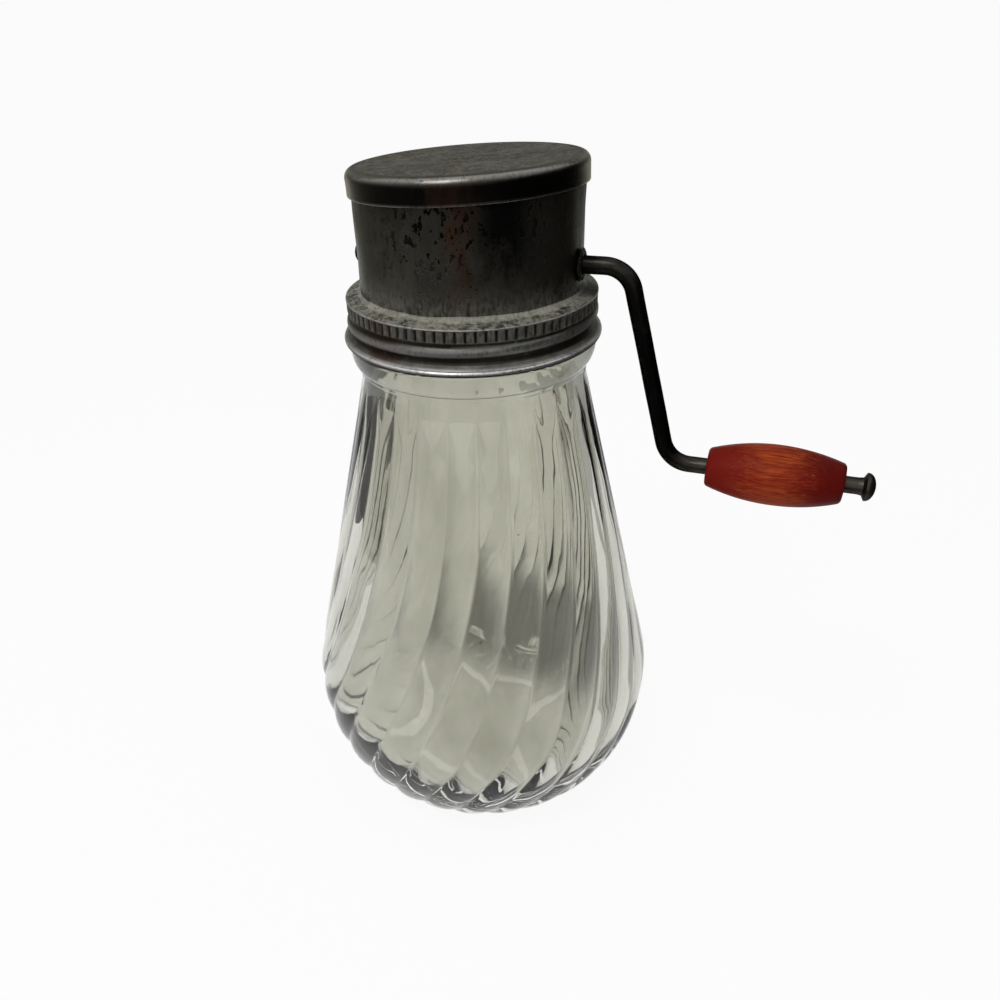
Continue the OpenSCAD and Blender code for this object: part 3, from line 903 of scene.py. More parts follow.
    def build(self) -> bpy.types.Object:
        """Makes the jar as one closed skin, ribbed outside and gently uneven inside.

        Returns:
            The jar.
        """
        outer, inner = self.outside(), self.inside()
        columns = self.rib_count * self.across
        share = (np.arange(columns) % self.across / self.across - 0.5)[None, :]
        r, z = outer[:, :1], outer[:, 1:]
        swirl = np.radians(self.swirl_turn) * np.clip(1 - z / self.swirl_from, 0, 1) ** 2
        angle = turn(columns)[None, :]
        shell = revolve(r - self.groove(share, z, r) + self.thread_rise(angle, z), z, angle - swirl)
        r, z = inner[:, :1], inner[:, 1:]
        below = np.clip((self.cone_z - z) / self.uneven_h, 0, 1) * np.clip(r / self.base_r, 0, 1)
        uneven = self.uneven_depth * wobble(angle, z, 5, 9, 26) * below
        cavity = revolve(r + uneven, z, angle)
        return skin("jar_glass", np.concatenate([shell, cavity]), Ends.POLES)

    def dress(self) -> None:
        """Makes the jar and gives it its glass."""
        place(self.build(), Body.JAR, Slot.GLASS, Glass().material(), "glass_jar")


@dataclass
class ScrewCap:
    """Tinplate screw cap: sloping top, knurled band, rolled thread, groove and curled lower edge."""

    radius: float = 32.0
    lip_step: float = 0.1
    hole_r: float = 28.18
    sheet_t: float = 0.45
    top_rise: float = 0.893
    knurl_h: float = 3.4
    knurl_count: int = 84
    knurl_depth: float = 0.42
    knurl_power: int = 12
    knurl_foot: float = 0.1
    plain_r: float = 31.6
    plain_h: float = 0.8
    roll_r: float = 32.3
    roll_h: float = 2.7
    groove_r: float = 31.3
    groove_h: float = 1.6
    curl_r: float = 33.4
    curl_h: float = 1.5
    drip_at: float = 8.0
    drip_half: float = 13.0
    corner: float = 0.18
    outer_step: float = 0.38
    inner_step: float = 1.5
    across: int = 10
    low_z: float = field(default_factory=lambda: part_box("screw_cap")[0].z / MM)
    top_z: float = field(default_factory=lambda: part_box("screw_cap")[1].z / MM)

    def __post_init__(self) -> None:
        """Works out the heights of the skirt's bands from the cap's edge down."""
        self.lip_z = self.top_z - self.top_rise
        self.plain_z = self.lip_z - self.knurl_h
        self.roll_z = self.plain_z - self.plain_h
        self.groove_z = self.roll_z - self.roll_h
        self.flare_z = self.groove_z - self.groove_h
        self.thread = Thread(self.roll_z - self.roll_h / 2, self.roll_h)

    def top_at(self, radius: float) -> float:
        """Height of the sloping top at a radius."""
        return self.lip_z + self.top_rise * (self.radius - radius) / (self.radius - self.hole_r)

    def below_bush(self, angle: np.ndarray) -> np.ndarray:
        """Share of the grime that has run down from the crank's bush, at azimuths in radians."""
        return np.exp(-(apart(angle, self.drip_at) / self.drip_half) ** 2)

    def outline(self) -> np.ndarray:
        """Section of the cap without its knurl and thread: up the outside, over the top and down the inside.

        Returns:
            Outline of shape (n, 2), as radius and height.
        """
        bead = self.curl_h / 2
        curl = arc((self.curl_r - bead, self.low_z + bead), (bead, bead), -110, 80, 12)
        inner, groove = self.plain_r - self.sheet_t, self.groove_r - self.sheet_t
        edge, lip = self.radius + self.lip_step, self.lip_z - self.sheet_t
        outside = np.concatenate([curl, [
            [self.groove_r + 0.25, self.flare_z], [self.groove_r, self.flare_z + 0.5],
            [self.groove_r, self.groove_z], [self.plain_r, self.groove_z + 0.4], [self.plain_r, self.plain_z],
            [self.radius, self.plain_z + 0.35], [self.radius, lip], [edge, lip], [edge, self.lip_z],
            [self.hole_r, self.top_z], [self.hole_r, self.top_z - self.sheet_t]]])
        inside = np.array([[inner, lip], [inner, self.roll_z], [groove, self.groove_z],
                           [groove, self.flare_z], [self.groove_r, self.low_z + bead]])
        return np.concatenate([spread(soften(outside, self.corner, 3), self.outer_step),
                               spread(soften(inside, self.corner, 3), self.inner_step)])

    def build(self) -> bpy.types.Object:
        """Makes the cap: the outline carried round, scalloped in the knurl and swollen along a rolled thread.

        Returns:
            The cap, with its worn edges, its painted highlights and its painted shade marked.
        """
        line = self.outline()
        columns = self.knurl_count * self.across
        angle = turn(columns)[None, :]
        r, z = line[:, :1], line[:, 1:]
        outer = r > self.groove_r - 0.01
        foot = self.plain_z + self.knurl_foot
        in_knurl = outer & (r > self.plain_r) & (z > foot) & (z < self.lip_z - self.sheet_t + 0.02)
        wave = np.abs(np.cos(self.knurl_count * angle / 2)) ** self.knurl_power
        fade = np.clip((z - foot) / 0.4, 0, 1)
        notch = in_knurl * fade * self.knurl_depth * wave
        middle = self.thread.middle(angle)
        bulge, runout = self.thread.bulge(angle, z), self.thread.runout(angle)
        in_roll = outer & (z < self.plain_z) & (z > self.flare_z)
        thread = in_roll * runout * bulge * np.clip(self.roll_r - r, 0, 1)
        radii = r - notch + thread
        on_top = (z > self.lip_z - 0.02) & (r < self.radius + 0.05)
        lip = np.exp(-((r - self.radius - self.lip_step) ** 2 + (z - self.lip_z) ** 2) / 0.05)
        # bead and crest are rubbed bands on the curl and on the rolled thread's crest, and also a painted
        # highlight, set on their upper sides.
        bead = outer * np.exp(-((z - self.low_z - 0.8 * self.curl_h) / 0.45) ** 2)
        crest = in_roll * runout * bulge ** 3 * np.clip(0.7 + (z - middle) / self.roll_h, 0, 1)
        # Painted shade: shelf darkens the groove beside the rolled thread, and under darkens the lower half
        # of the curl.
        shelf = in_roll * (1 - bulge * runout)
        under = outer & (z < self.low_z + 0.36 * self.curl_h)
        drip = on_top * (0.3 + 0.7 * self.below_bush(angle))
        dirt = np.maximum(in_knurl * fade * (0.12 + 0.88 * wave), drip)
        marks = {
            "wear_and_sheen": np.maximum(np.maximum(lip, bead), 0.55 * crest),
            "dust": on_top + in_knurl * 0.32 * (1 - wave),
            "grime_and_shade": np.maximum(dirt, np.maximum(0.75 * shelf, under))}
        return skin("cap_tin", revolve(radii, z, angle), Ends.LOOP, marks)

    def dress(self, tin: bpy.types.Material) -> None:
        """Makes the cap and gives it its tin.

        Args:
            tin: Finish of the cap.
        """
        place(self.build(), Body.HEAD, Slot.TIN, tin, "screw_cap")


@dataclass
class Hopper:
    """Tinplate drum on the cap, with its solder and the two eyelet bushes that carry the crank."""

    cap: ScrewCap
    radius: float = 28.15
    flange_r: float = 31.0
    sheet_t: float = 0.45
    seam: float = 0.03
    dent: float = 0.10
    hole_r: float = 2.95
    solder_w: float = 1.5
    solder_h: float = 0.9
    solder_uneven: float = 0.22
    sheet_step: float = 0.6
    columns: int = 288
    bush_bore: float = 2.21
    bush_r: float = 2.9
    bush_flange_r: float = 4.3
    bush_lump: float = 0.42
    bush_columns: int = 64
    top_z: float = field(default_factory=lambda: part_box("hopper_body")[1].z / MM)
    foot_z: float = field(default_factory=lambda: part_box("hopper_body")[0].z / MM)
    bush_in: float = field(default_factory=lambda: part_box("crank_bush")[0].x / MM)
    bush_out: float = field(default_factory=lambda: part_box("crank_bush")[1].x / MM)

    def __post_init__(self) -> None:
        """Reads the shaft's height from the bush."""
        low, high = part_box("crank_bush")
        self.shaft_z = (low.z + high.z) / 2 / MM

    def wall(self) -> bpy.types.Object:
        """Makes the drum: a sheet carried round, dented, with a round hole for each bush, then thickened.

        The faces within a hole's radius are left out, and the points on its edge are pulled to that radius.

        Returns:
            The drum.
        """
        foot = self.cap.top_at(self.radius) - self.sheet_t - self.seam
        line = np.array([[self.flange_r, self.foot_z + self.sheet_t], [self.radius, foot],
                         [self.radius, self.top_z]])
        line = spread(soften(line, 0.5, 6), self.sheet_step)
        angle = turn(self.columns)[None, :]
        r, z = line[:, :1], line[:, 1:]
        upright = np.clip((z - self.cap.top_z - 2) / 6, 0, 1) * np.clip((self.top_z - z) / 8, 0, 1)
        radii = r + self.dent * upright * (wobble(angle, z, 11, 7, 18) - 1)
        grid = revolve(radii, np.broadcast_to(z, radii.shape), angle)
        away = np.hypot(grid[..., 1], grid[..., 2] - self.shaft_z)
        near = (away < self.hole_r + 0.2) & (r < self.radius + 0.3)
        gone = near[:-1] & near[1:] & np.roll(near, -1, axis=1)[:-1] & np.roll(near, -1, axis=1)[1:]
        touched = np.zeros(near.shape, bool)
        rest = np.zeros(near.shape, bool)
        for row in (slice(0, -1), slice(1, None)):
            for shift in (0, 1):
                touched[row] |= np.roll(gone, shift, axis=1)
                rest[row] |= np.roll(~gone, shift, axis=1)
        edge = touched & rest
        pull = np.where(edge, self.hole_r / np.maximum(away, 1e-6), 1)
        grid[..., 1] *= pull
        grid[..., 2] = self.shaft_z + (grid[..., 2] - self.shaft_z) * pull
        marks = {
            "wear_and_sheen": 0.4 * np.exp(-((z - self.top_z) / 0.6) ** 2),
            "dust": 0.36 * np.exp(-(np.clip(z - self.cap.top_z, 0, None) / 4.5) ** 2),
            "grime_and_shade": np.exp(-(away / 5.8) ** 2)}
        piece = skin("hopper_tin", grid, Ends.OPEN, marks, ~gone)
        thick = piece.modifiers.new("sheet", "SOLIDIFY")
        thick.thickness = self.sheet_t * MM
        thick.offset = -1
        return piece

    def solder(self) -> bpy.types.Object:
        """Makes the solder: a hollow fillet between the drum and the cap's top, of uneven size.

        Returns:
            The ring of solder.
        """
        angle = turn(self.columns)[None, :]
        size = 1 + self.solder_uneven * wobble(angle, np.zeros((1, 1)), 23, 17, 10)
        hollow = arc((1, 1), (1, 1), 270, 180, 8)
        out = np.concatenate([hollow[:, 0], [-0.06, -0.06]])[:, None]
        up = np.concatenate([hollow[:, 1], [0.9, 0.0]])[:, None]
        radii = self.radius - 0.02 + np.where(out > 0, out * self.solder_w * size, out)
        slope = self.cap.top_rise / (self.cap.radius - self.cap.hole_r)
        heights = self.cap.lip_z + slope * (self.cap.radius - radii) - 0.04 + up * self.solder_h * size
        marks = {"dust": np.ones(radii.shape), "grime_and_shade": 0.25 + 0.75 * self.cap.below_bush(angle)}
        return skin("hopper_solder", revolve(radii, heights, angle), Ends.LOOP, marks)

    def bush(self, name: str, side: int) -> bpy.types.Object:
        """Makes an eyelet bush: its section carried round the shaft, lumpy where old grease has dried.

        Args:
            name: Name of the piece.
            side: 1 on the crank's side and -1 on the other.

        Returns:
            The bush.
        """
        inner_wall = self.radius - self.sheet_t
        inside_face = math.sqrt(inner_wall ** 2 - self.bush_flange_r ** 2) - self.seam
        line = np.array([
            [self.bush_bore, self.bush_in], [self.bush_flange_r - 0.35, self.bush_in],
            [self.bush_flange_r - 0.35, inside_face], [self.bush_r, inside_face],
            [self.bush_r, self.radius + self.seam], [self.bush_flange_r, self.radius + self.seam],
            [self.bush_flange_r, self.bush_out - 0.3], [self.bush_flange_r - 0.8, self.bush_out],
            [self.bush_bore, self.bush_out], [self.bush_bore, self.bush_in]])
        line = spread(soften(line, 0.2, 4), 0.3)[:-1]
        angle = turn(self.bush_columns)[None, :]
        lumps = wobble(angle, 3 * line[:, 1:], 31 + side, 9, 9)
        outer = (line[:, 1:] > self.radius) & (line[:, :1] > self.bush_bore + 0.3)
        radii = line[:, :1] - outer * self.bush_lump * (1 - np.clip(lumps, -1, 1))
        along = np.stack([side * line[:, 1], np.zeros(len(line)), np.full(len(line), self.shaft_z)], axis=-1)
        tangents = np.tile([float(side), 0, 0], (len(line), 1))
        return skin(name, sweep(along, tangents, (0, 1, 0), radii), Ends.LOOP)

    def dress(self, tin: bpy.types.Material, solder: bpy.types.Material, grease: bpy.types.Material) -> None:
        """Makes the drum, its solder and its bushes.

        Args:
            tin: Finish of the drum.
            solder: Finish of the solder.
            grease: Finish of the bushes.
        """
        place(self.wall(), Body.HEAD, Slot.TIN, tin, "hopper_body")
        place(self.solder(), Body.HEAD, Slot.TIN, solder)
        place(self.bush("crank_eyelet", 1), Body.HEAD, Slot.DARK_STEEL, grease, "crank_bush")
        place(self.bush("tail_eyelet", -1), Body.HEAD, Slot.DARK_STEEL, grease, "tail_bush")


@dataclass
class Lid:
    """Loose slip lid, cocked on the hopper's rim."""

    hopper_r: float = 28.15
    clearance: float = 0.5
    sheet_t: float = 0.45
    height: float = 5.9
    edge_r: float = 2.0
    tilt: float = 2.8
    high_side: float = -33.0
    slide: float = 0.3
    dent: float = 0.10
    skirt_dent: float = 0.05
    pole_r: float = 1.5
    top_step: float = 1.5
    columns: int = 240

    def outline(self) -> np.ndarray:
        """Section of the lid: out along the underside, down the inside, up the outside and in along the top.

        Returns:
            Outline of shape (n, 2), as radius and height, with the top at 0.
        """
        inner = self.hopper_r + self.clearance
        outer = inner + self.sheet_t
        hollow = self.edge_r - self.sheet_t
        corner = (outer - self.edge_r, -self.edge_r)
        return np.concatenate([
            spread(np.array([[self.pole_r, -self.sheet_t], [corner[0], -self.sheet_t]]), self.top_step)[:-1],
            arc(corner, (hollow, hollow), 90, 0, 8),
            spread(soften(np.array([[inner, -self.edge_r - 0.2], [inner, -self.height], [outer, -self.height],
                                    [outer, -self.edge_r - 0.2]]), 0.12, 4), 0.5),
            arc(corner, (self.edge_r, self.edge_r), 0, 90, 14),
            spread(np.array([[corner[0], 0], [self.pole_r, 0]]), self.top_step)[1:]])

    def build(self) -> bpy.types.Object:
        """Makes the lid level, dented a little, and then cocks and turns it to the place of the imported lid.

        Returns:
            The lid.
        """
        line = self.outline()
        angle = turn(self.columns)[None, :]
        r, z = line[:, :1], line[:, 1:]
        flat = np.clip((self.hopper_r - 1.5 - r) / 6, 0, 1)
        dents = wobble(angle, 1.3 * r, 41, 4, 22)
        heights = z + flat * self.dent * (dents - 1.2)
        skirt = np.clip((-z - self.edge_r) / 2, 0, 1)
        radii = r + skirt * self.skirt_dent * (wobble(angle, z, 43, 9, 20) - 1)
        level = revolve(radii, heights, angle)
        slope, side = math.radians(self.tilt), math.radians(self.high_side)
        level[..., 0] += self.hopper_r
        x = level[..., 0] * math.cos(slope) - level[..., 2] * math.sin(slope) - self.hopper_r
        up = level[..., 0] * math.sin(slope) + level[..., 2] * math.cos(slope)
        y = level[..., 1]
        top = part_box("hopper_lid")[1].z / MM
        grid = np.stack([x * math.cos(side) - y * math.sin(side) - self.slide,
                         x * math.sin(side) + y * math.cos(side), up + top - up.max()], axis=-1)
        round_edge = np.exp(-((r - self.hopper_r) ** 2 + (z + 0.6) ** 2) / 0.6)
        raw_edge = np.exp(-((z + self.height) / 0.15) ** 2)
        on_top = np.clip((self.hopper_r - 0.6 - r) / 1.5, 0, 1) * (z > -0.2)
        marks = {"wear_and_sheen": np.maximum(round_edge * 0.7, raw_edge * 0.6), "dust": on_top * 0.9}
        return skin("lid_tin", grid, Ends.POLES, marks)

    def dress(self, tin: bpy.types.Material) -> None:
        """Makes the lid and gives it its dark tin.

        Args:
            tin: Finish of the lid.
        """
        place(self.build(), Body.LID, Slot.DARK_TIN, tin, "hopper_lid")


@dataclass
class Crank:
    """Bent steel rod: the shaft through the hopper, the arm and the handle's axle."""

    radius: float = 2.15
    reach: float = 39.8
    lean: float = 15.4
    bend_r: float = 7.5
    head_r: float = 3.55
    head_l: float = 4.2
    stem_l: float = 1.2
    tail_r: float = 3.0
    tail_l: float = 2.4
    unevenness: float = 0.03
    bend_rows: int = 22
    columns: int = 40
    step: float = 1.0

    def __post_init__(self) -> None:
        """Reads the shaft's and the handle's heights and the rod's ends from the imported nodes."""
        low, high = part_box("crank_bush")
        self.shaft_z = (low.z + high.z) / 2 / MM
        low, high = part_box("handle_grip")
        self.handle_z = (low.z + high.z) / 2 / MM
        low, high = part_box("crank_rod")
        self.tail_x = low.x / MM + self.tail_l
        self.head_x = high.x / MM - self.head_l

    def path(self) -> tuple[np.ndarray, np.ndarray]:
        """Centre line of the rod: straight, arc, straight, arc, straight, in the XZ plane.

        Returns:
            Points of shape (n, 2) as x and z, and the direction's angle below +X at each, in degrees.
        """
        fall = 90 - self.lean
        cut = self.bend_r * math.tan(math.radians(fall / 2))
        elbow_x = self.reach + (self.shaft_z - self.handle_z) * math.tan(math.radians(self.lean))
        radii, rows = (self.bend_r, self.bend_r), self.bend_rows
        bend = np.linspace(0, fall, rows)
        first = arc((self.reach - cut, self.shaft_z - self.bend_r), radii, 90, self.lean, rows)
        second = arc((elbow_x + cut, self.handle_z + self.bend_r), radii, 180 + self.lean, 270, rows)
        shaft = spread(np.array([[self.tail_x, self.shaft_z], first[0]]), self.step)[:-1]
        arm = spread(np.array([first[-1], second[0]]), self.step)[1:-1]
        axle = spread(np.array([second[-1], [self.head_x, self.handle_z]]), self.step)[1:]
        points = np.concatenate([shaft, first, arm, second, axle])
        angles = np.concatenate([
            np.zeros(len(shaft)), bend, np.full(len(arm), fall), bend[::-1], np.zeros(len(axle))])
        return points, angles

    def build(self) -> bpy.types.Object:
        """Makes the rod: a circle carried along its centre line, with a peened tail and a domed rivet head.

        Returns:
            The rod.
        """
        points, angles = self.path()
        dome = arc((0, 0), (1, 1), 4, 90, 10)
        tail_r = np.concatenate([dome[::-1, 0][1:] * self.tail_r, [self.tail_r, self.tail_r * 0.97]])
        peen = -self.tail_l * (0.25 + 0.75 * dome[::-1, 1][1:])
        tail_x = np.concatenate([peen, [-0.12, 0.0]]) + self.tail_x
        flare = np.array([
            [self.radius, 0.1], [self.radius + 0.15, 0], [self.head_r * 0.8, 0.3], [self.head_r, 0.7]])
        flare[:, 1] += [0, self.stem_l, self.stem_l, self.stem_l]
        crown = self.stem_l + 0.9
        head_r = np.concatenate([flare[:, 0], dome[:-1, 0] * self.head_r])
        head_x = np.concatenate([flare[:, 1], crown + (self.head_l - crown) * dome[:-1, 1]]) + self.head_x
        x = np.concatenate([tail_x, points[:, 0], head_x])
        z = np.concatenate([
            np.full(len(tail_x), self.shaft_z), points[:, 1], np.full(len(head_x), self.handle_z)])
        fall = np.radians(np.concatenate([np.zeros(len(tail_x)), angles, np.zeros(len(head_x))]))
        length = np.arange(len(x), dtype=float)[:, None]
        r = np.concatenate([tail_r, np.full(len(points), self.radius), head_r])[:, None]
        lumps = np.clip(wobble(turn(self.columns)[None, :], length, 61, 5, 16), -1, 1)
        radii = r - self.unevenness * (1 + lumps)
        centres = np.stack([x, np.zeros(len(x)), z], axis=-1)
        tangents = np.stack([np.cos(fall), np.zeros(len(x)), -np.sin(fall)], axis=-1)
        # Brighter on the handle's axle and lower bend, rubbed by handling and painted sheen, and a painted
        # highlight at the first bend.
        axle = np.clip((x - self.reach - 14) / 6, 0, 1) * (z < self.handle_z + self.bend_r)
        painted_bend_sheen = 0.45 * np.exp(-((x - self.reach + 4) / 5) ** 2)
        marks = {"wear_and_sheen": np.maximum(0.8 * axle, painted_bend_sheen)[:, None]}
        return skin("crank_steel", sweep(centres, tangents, (0, 1, 0), radii), Ends.POLES, marks)

    def dress(self, steel: bpy.types.Material) -> None:
        """Makes the rod and gives it its dark steel.

        Args:
            steel: Finish of the rod.
        """
        place(self.build(), Body.CRANK, Slot.DARK_STEEL, steel, "crank_rod")


@dataclass
class Grip:
    """Turned wooden barrel that spins on the rod."""

    end_r: float = 4.9
    bore_r: float = 2.23
    edge: float = 0.5
    unevenness: float = 0.05
    columns: int = 128

    def __post_init__(self) -> None:
        """Reads the grip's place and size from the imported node."""
        low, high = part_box("handle_grip")
        self.start, self.end = low.x / MM, high.x / MM
        self.radius = (high.y - low.y) / 2 / MM
        self.axis_z = (low.z + high.z) / 2 / MM

    def build(self) -> bpy.types.Object:
        """Makes the grip: a bowed barrel with eased ends and a bore, its section carried round the axle.

        Returns:
            The grip.
        """
        half = (self.end - self.start) / 2
        bulge = self.radius - self.end_r
        bow = (half ** 2 + bulge ** 2) / (2 * bulge)
        swing = math.degrees(math.asin(half / bow))
        barrel = arc((self.radius - bow, 0), (bow, bow), -swing, swing, 60)
        ease = np.array([
            [self.end_r - self.edge, half], [self.bore_r + 0.3, half], [self.bore_r, half - 0.3]])
        back = ease[::-1] * [1, -1]
        rim_r, rim_x = self.end_r - 0.1, half - self.edge * 0.4
        barrel[0], barrel[-1] = (rim_r, -rim_x), (rim_r, rim_x)
        line = spread(np.concatenate([barrel, ease, back]), 1.0)
        angle = turn(self.columns)[None, :]
        skin_part = line[:, :1] > self.end_r - self.edge
        lumps = np.clip(wobble(angle, line[:, 1:], 71, 12, 20), -1, 1)
        radii = line[:, :1] - skin_part * self.unevenness * (1 + lumps)
        along = line[:, 1] + (self.start + self.end) / 2
        centres = np.stack([along, np.zeros(len(along)), np.full(len(along), self.axis_z)], axis=-1)
        tangents = np.tile([1.0, 0, 0], (len(along), 1))
        return skin("grip_wood", sweep(centres, tangents, (0, 1, 0), radii), Ends.LOOP)

    def dress(self) -> None:
        """Makes the grip and gives it its lacquer."""
        lacquer = Lacquer((self.start + self.end) / 2, (self.end - self.start) / 2)
        place(self.build(), Body.GRIP, Slot.WOOD, lacquer.material(), "handle_grip")


@dataclass
class GrindingSet:
    """Floor, combs, rotor and rivets inside the hopper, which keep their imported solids."""

    blades: tuple[str, ...] = ("coarse_comb", "fine_comb", "rotor_comb_front", "rotor_comb_back")
    rivets: tuple[str, ...] = ("comb_rivets", "rotor_rivets")

    def dress(self, tin: bpy.types.Material) -> None:
        """Gives the inner pieces their finishes.

        Args:
            tin: Finish of the floor.
        """
        blade = Steel("blade_steel_worn", (0.16, 0.155, 0.145), (0.46, 0.45, 0.43), (0.35, 0.7)).material()
        stud = Steel("rivet_steel", (0.20, 0.19, 0.18), (0.52, 0.51, 0.49), (0.4, 0.7), (1, 1, 1)).material()
        for name in self.blades:
            dress_node(name, blade)
        for name in self.rivets:
            dress_node(name, stud)
        dress_node("hopper_floor", tin)


@dataclass(frozen=True)
class Card:
    """Studio card that stands round the object and faces it, or lies on the floor.

    A card that lies has its low and high edges at those distances from the axis. Its tone fades out towards
    its edges, from the share of the way that fade gives.
    """

    name: str
    azimuth: float
    distance: float
    width: float
    low: float
    high: float
    shade: float
    seen_by: SeenBy
    lying: bool = False
    fade: float = 0.35


@dataclass(frozen=True)
class Lamp:
    """Soft square lamp that faces the middle of the object.

    Its azimuth goes from +X towards +Y, its elevation and distance are from the object's middle, size is its
    side in millimetres, and power is in watts.
    """

    name: str
    azimuth: float
    elevation: float
    distance: float
    size: float
    power: float


@dataclass
class Studio:
    """Camera at the photograph's viewpoint, white floor and background, soft lamps and dark cards."""

    axis_z: float
    distance: float = 221.33
    rise: float = 65.86
    crank_turn: float = 20.3
    yaw: float = -2.18
    pitch: float = 33.92
    roll: float = -2.89
    image: float = 1000.0
    focal: float = 863.56
    centre_x: float = 452.0
    centre_y: float = 558.74
    sensor: float = 36.0
    floor_half: float = 60000.0
    floor_seen: float = 0.92
    floor_mirrored: float = 0.66
    floor_through: float = 0.385
    world_fill: float = 0.55
    world_seen: float = 0.905
    world_through: float = 0.4
    mat_z: float = 0.5
    cards: tuple[Card, ...] = (
        Card("card_back", 110, 420, 1100, 180, 800, 0.22, SeenBy.GLOSSY),
        Card("card_mat", -70, 0, 4000, 50, 3000, 0.06, SeenBy.GLOSSY, True, 0.85),
        Card("card_dark", 25, 0, 800, 70, 2600, 0.02, SeenBy.GLOSSY, True, 0.8),
        Card("card_front", 8, 420, 1100, 0, 420, 0.03, SeenBy.GLOSSY),
        Card("card_side", -165, 420, 700, 0, 260, 0.28, SeenBy.GLOSSY),
        Card("card_left", 172, 300, 480, 0, 300, 0.05, SeenBy.GLASS),
        Card("card_right", 48, 300, 900, 0, 420, 0.40, SeenBy.GLASS),
        # A painted shadow: a dark patch on the floor behind the jar, where the head's shadow falls, seen only
        # through the glass.
        Card("card_painted_shadow", 80, 0, 120, 15, 125, 0.20, SeenBy.GLASS, True),
    )
    lamps: tuple[Lamp, ...] = (
        Lamp("key", -105, 58, 620, 200, 1.5),
        Lamp("fill", -15, 40, 700, 300, 0.15),
    )
    aim_share: float = 0.7

    def camera(self) -> None:
        """Makes the camera: a pinhole fitted to the photograph, with its centre set by the shift."""
        yaw, pitch, roll = (math.radians(a) for a in (self.yaw, self.pitch, self.roll))
        flat = math.cos(pitch)
        forward = np.array([math.sin(yaw) * flat, math.cos(yaw) * flat, -math.sin(pitch)])
        level = np.array([math.cos(yaw), -math.sin(yaw), 0])
        above = np.cross(level, forward)
        right = math.cos(roll) * level + math.sin(roll) * above
        up = math.cos(roll) * above - math.sin(roll) * level
        eye = np.array([0, -self.distance, self.rise + self.axis_z]) * MM
        pose = Matrix.Identity(4)
        for column, part in enumerate((right, up, -forward, eye)):
            for row in range(3):
                pose[row][column] = part[row]
        lens = bpy.data.cameras.new("camera")
        lens.sensor_width = self.sensor
        lens.lens = self.focal * self.sensor / self.image
        lens.shift_x = 0.5 - self.centre_x / self.image
        lens.shift_y = self.centre_y / self.image - 0.5
        lens.clip_start = 0.01
        lens.clip_end = 200
        camera = bpy.data.objects.new("camera", lens)
        camera.matrix_world = Matrix.Rotation(math.radians(self.crank_turn), 4, "Z") @ pose
        bpy.context.scene.collection.objects.link(camera)
        bpy.context.scene.camera = camera

    def seen(self, sheet: NodeSheet, camera: float, glossy: float, through: float) -> Value:
        """Share of a tone that each kind of ray sees, and 0 for rays from dull surfaces.

        Args:
            sheet: Node sheet of the finish or the world.
            camera: Share for the camera's own rays.
            glossy: Share for mirror reflections.
            through: Share for rays through glass.

        Returns:
            The share.
        """
        rays = sheet.node("ShaderNodeLightPath").outputs
        direct = Value(sheet, rays["Is Camera Ray"]) * camera + Value(sheet, rays["Is Glossy Ray"]) * glossy
        return direct.most(Value(sheet, rays["Is Transmission Ray"]) * through)

    def floor(self) -> None:
        """Makes the floor: white where it is seen, with the object's soft shadow kept in a part of it."""
        half = self.floor_half
        corners = np.array([[-half, -half, 0], [half, -half, 0], [half, half, 0], [-half, half, 0]])
        piece = put_mesh("floor", corners, [np.array([[0, 1, 2, 3]])])
        sheet, material = NodeSheet.of_material("floor_white")
        tone = sheet.mix(sheet.noise(300, 2), (0.90, 0.90, 0.90), (0.93, 0.93, 0.93))
        dull = sheet.node("ShaderNodeBsdfDiffuse", inputs={"Color": tone})
        glow = sheet.node("ShaderNodeEmission", inputs={"Color": (1, 1, 1, 1), "Strength": 1.0})
        share = self.seen(sheet, self.floor_seen, self.floor_mirrored, self.floor_through)
        inputs = {0: share, 1: dull.outputs[0], 2: glow.outputs[0]}
        mixed = sheet.node("ShaderNodeMixShader", inputs=inputs)
        sheet.node("ShaderNodeOutputMaterial", inputs={"Surface": mixed.outputs[0]})
        piece.data.materials.append(material)

    def world(self) -> None:
        """Makes the background: white where it is seen, and an even grey fill for dull surfaces."""
        world = bpy.data.worlds.new("studio")
        world.use_nodes = True
        sheet = NodeSheet(world.node_tree)
        fill = (self.world_fill,) * 3
        tone = sheet.mix(self.seen(sheet, self.world_seen, 1, self.world_through), fill, (1.0, 1.0, 1.0))
        back = sheet.node("ShaderNodeBackground", inputs={"Color": tone, "Strength": 1.0})
        sheet.node("ShaderNodeOutputWorld", inputs={"Surface": back.outputs[0]})
        bpy.context.scene.world = world

    def lamp(self, lamp: Lamp) -> None:
        """Makes a lamp and turns it to the object's middle.

        Args:
            lamp: Place, size and power of the lamp.
        """
        around, above = math.radians(lamp.azimuth), math.radians(lamp.elevation)
        flat = math.cos(above)
        away = np.array([math.cos(around) * flat, math.sin(around) * flat, math.sin(above)])
        light = bpy.data.lights.new(lamp.name, "AREA")
        light.shape = "SQUARE"
        light.size = lamp.size * MM
        light.energy = lamp.power
        made = bpy.data.objects.new(lamp.name, light)
        aim = Matrix.Rotation(around + math.pi / 2, 4, "Z") @ Matrix.Rotation(math.pi / 2 - above, 4, "X")
        middle = np.array([0, 0, self.axis_z * self.aim_share])
        made.matrix_world = Matrix.Translation((middle + away * lamp.distance) * MM) @ aim
        bpy.context.scene.collection.objects.link(made)

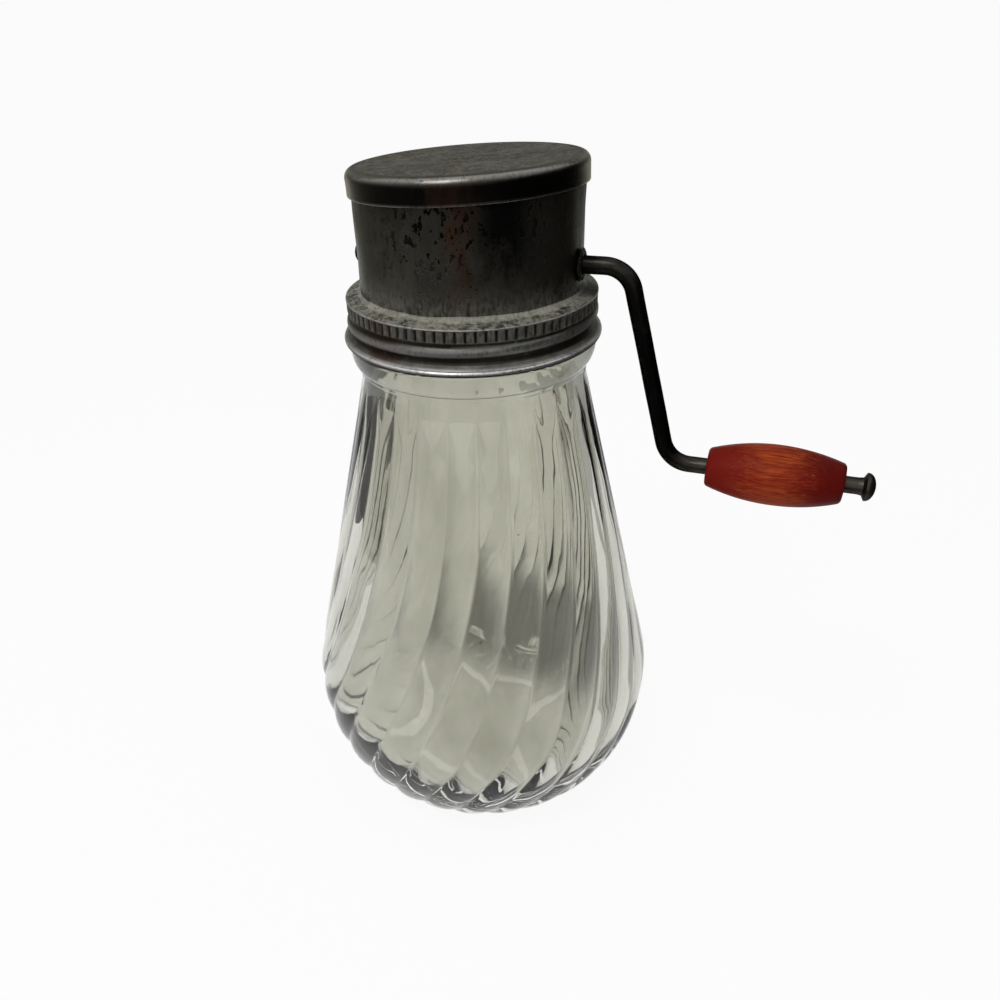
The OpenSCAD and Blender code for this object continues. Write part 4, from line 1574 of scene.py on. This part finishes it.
    def soft(self, sheet: NodeSheet, card: Card) -> Value:
        """Share of a lying card's tone: 1 in its middle, fading to 0 towards its edges.

        Args:
            sheet: Node sheet of the card's finish.
            card: Place and size of the card.

        Returns:
            The share.
        """
        around, middle = math.radians(card.azimuth), (card.low + card.high) / 2
        x, y, _ = sheet.axes()
        along = x * math.cos(around) + y * math.sin(around) - middle
        across = y * math.cos(around) - x * math.sin(around)
        far = (along / (card.high - middle)).absolute().most((across / (card.width / 2)).absolute())
        return far.rise(1.0, card.fade)

    def card(self, card: Card) -> None:
        """Makes a card as a flat sheet, met only by the rays that it is there for.

        Args:
            card: Place, size and tone of the card.
        """
        around = math.radians(card.azimuth)
        away, above = np.array([math.cos(around), math.sin(around), 0]), np.array([0.0, 0, 1])
        side = np.cross(above, away) * card.width / 2
        start, along = (above * self.mat_z, away) if card.lying else (away * card.distance, above)
        low, high = start + along * card.low, start + along * card.high
        corners = np.stack([low - side, low + side, high + side, high - side])
        piece = put_mesh(card.name, corners, [np.array([[0, 1, 2, 3]])])
        sheet, material = NodeSheet.of_material(card.name)
        tone = sheet.mix(sheet.noise(200, 2), (card.shade,) * 3, (card.shade * 1.4,) * 3)
        flat = sheet.node("ShaderNodeEmission", inputs={"Color": tone, "Strength": 1.0}).outputs[0]
        if card.lying:
            clear = sheet.node("ShaderNodeBsdfTransparent").outputs[0]
            inputs = {0: self.soft(sheet, card), 1: clear, 2: flat}
            flat = sheet.node("ShaderNodeMixShader", inputs=inputs).outputs[0]
        sheet.node("ShaderNodeOutputMaterial", inputs={"Surface": flat})
        piece.data.materials.append(material)
        piece.visible_camera = False
        piece.visible_diffuse = False
        piece.visible_shadow = False
        piece.visible_glossy = card.seen_by is SeenBy.GLOSSY
        piece.visible_transmission = card.seen_by is SeenBy.GLASS

    def build(self) -> None:
        """Makes the camera, the floor, the background, the lamps and the cards."""
        self.camera()
        self.floor()
        self.world()
        for lamp in self.lamps:
            self.lamp(lamp)
        for card in self.cards:
            self.card(card)


def main() -> None:
    """Builds the studio and every piece."""
    logging.basicConfig(level=logging.INFO, format="%(name)s: %(message)s")
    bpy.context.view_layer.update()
    cap = ScrewCap()
    Studio(cap.lip_z).build()
    drum = Hopper(cap)
    drum_tin = Tin("hopper_tin", (0.082, 0.079, 0.066), (0.028, 0.026, 0.020), low_z=cap.top_z,
                   high_z=drum.top_z, rust_amount=0.85, stain_and_dark_reflection_amount=0.95, pit_amount=1.0, metallic=0.96)
    cap_tin = Tin("cap_tin", (0.13, 0.13, 0.118), (0.045, 0.043, 0.036), rust_at=-112, rust_half=9,
                  rust_amount=0.95, worn=(0.50, 0.50, 0.49))
    lid_tin = Tin("lid_tin", (0.010, 0.009, 0.0072), (0.004, 0.0035, 0.003), rust_at=-80, rust_amount=0.35,
                  worn=(0.34, 0.33, 0.30), dust=(0.108, 0.103, 0.079), edge=(0.9, 0.88, 0.76), smooth=0.15,
                  dull=0.32, metallic=0.95)
    solder = Tin("solder_grey", (0.20, 0.195, 0.165), (0.13, 0.125, 0.105), metallic=0.4)
    rod_steel = Steel("rod_steel", (0.0045, 0.0042, 0.0038), (0.034, 0.029, 0.022))
    floor_tin = Tin("floor_tin", (0.30, 0.29, 0.26), (0.14, 0.13, 0.11))
    GlassJar().dress()
    cap.dress(cap_tin.material())
    drum.dress(drum_tin.material(), solder.material(), Grease().material())
    Lid().dress(lid_tin.material())
    Crank().dress(rod_steel.material())
    Grip().dress()
    GrindingSet().dress(floor_tin.material())
    bpy.context.scene.view_settings.view_transform = "Standard"


if __name__ == "__main__":
    main()
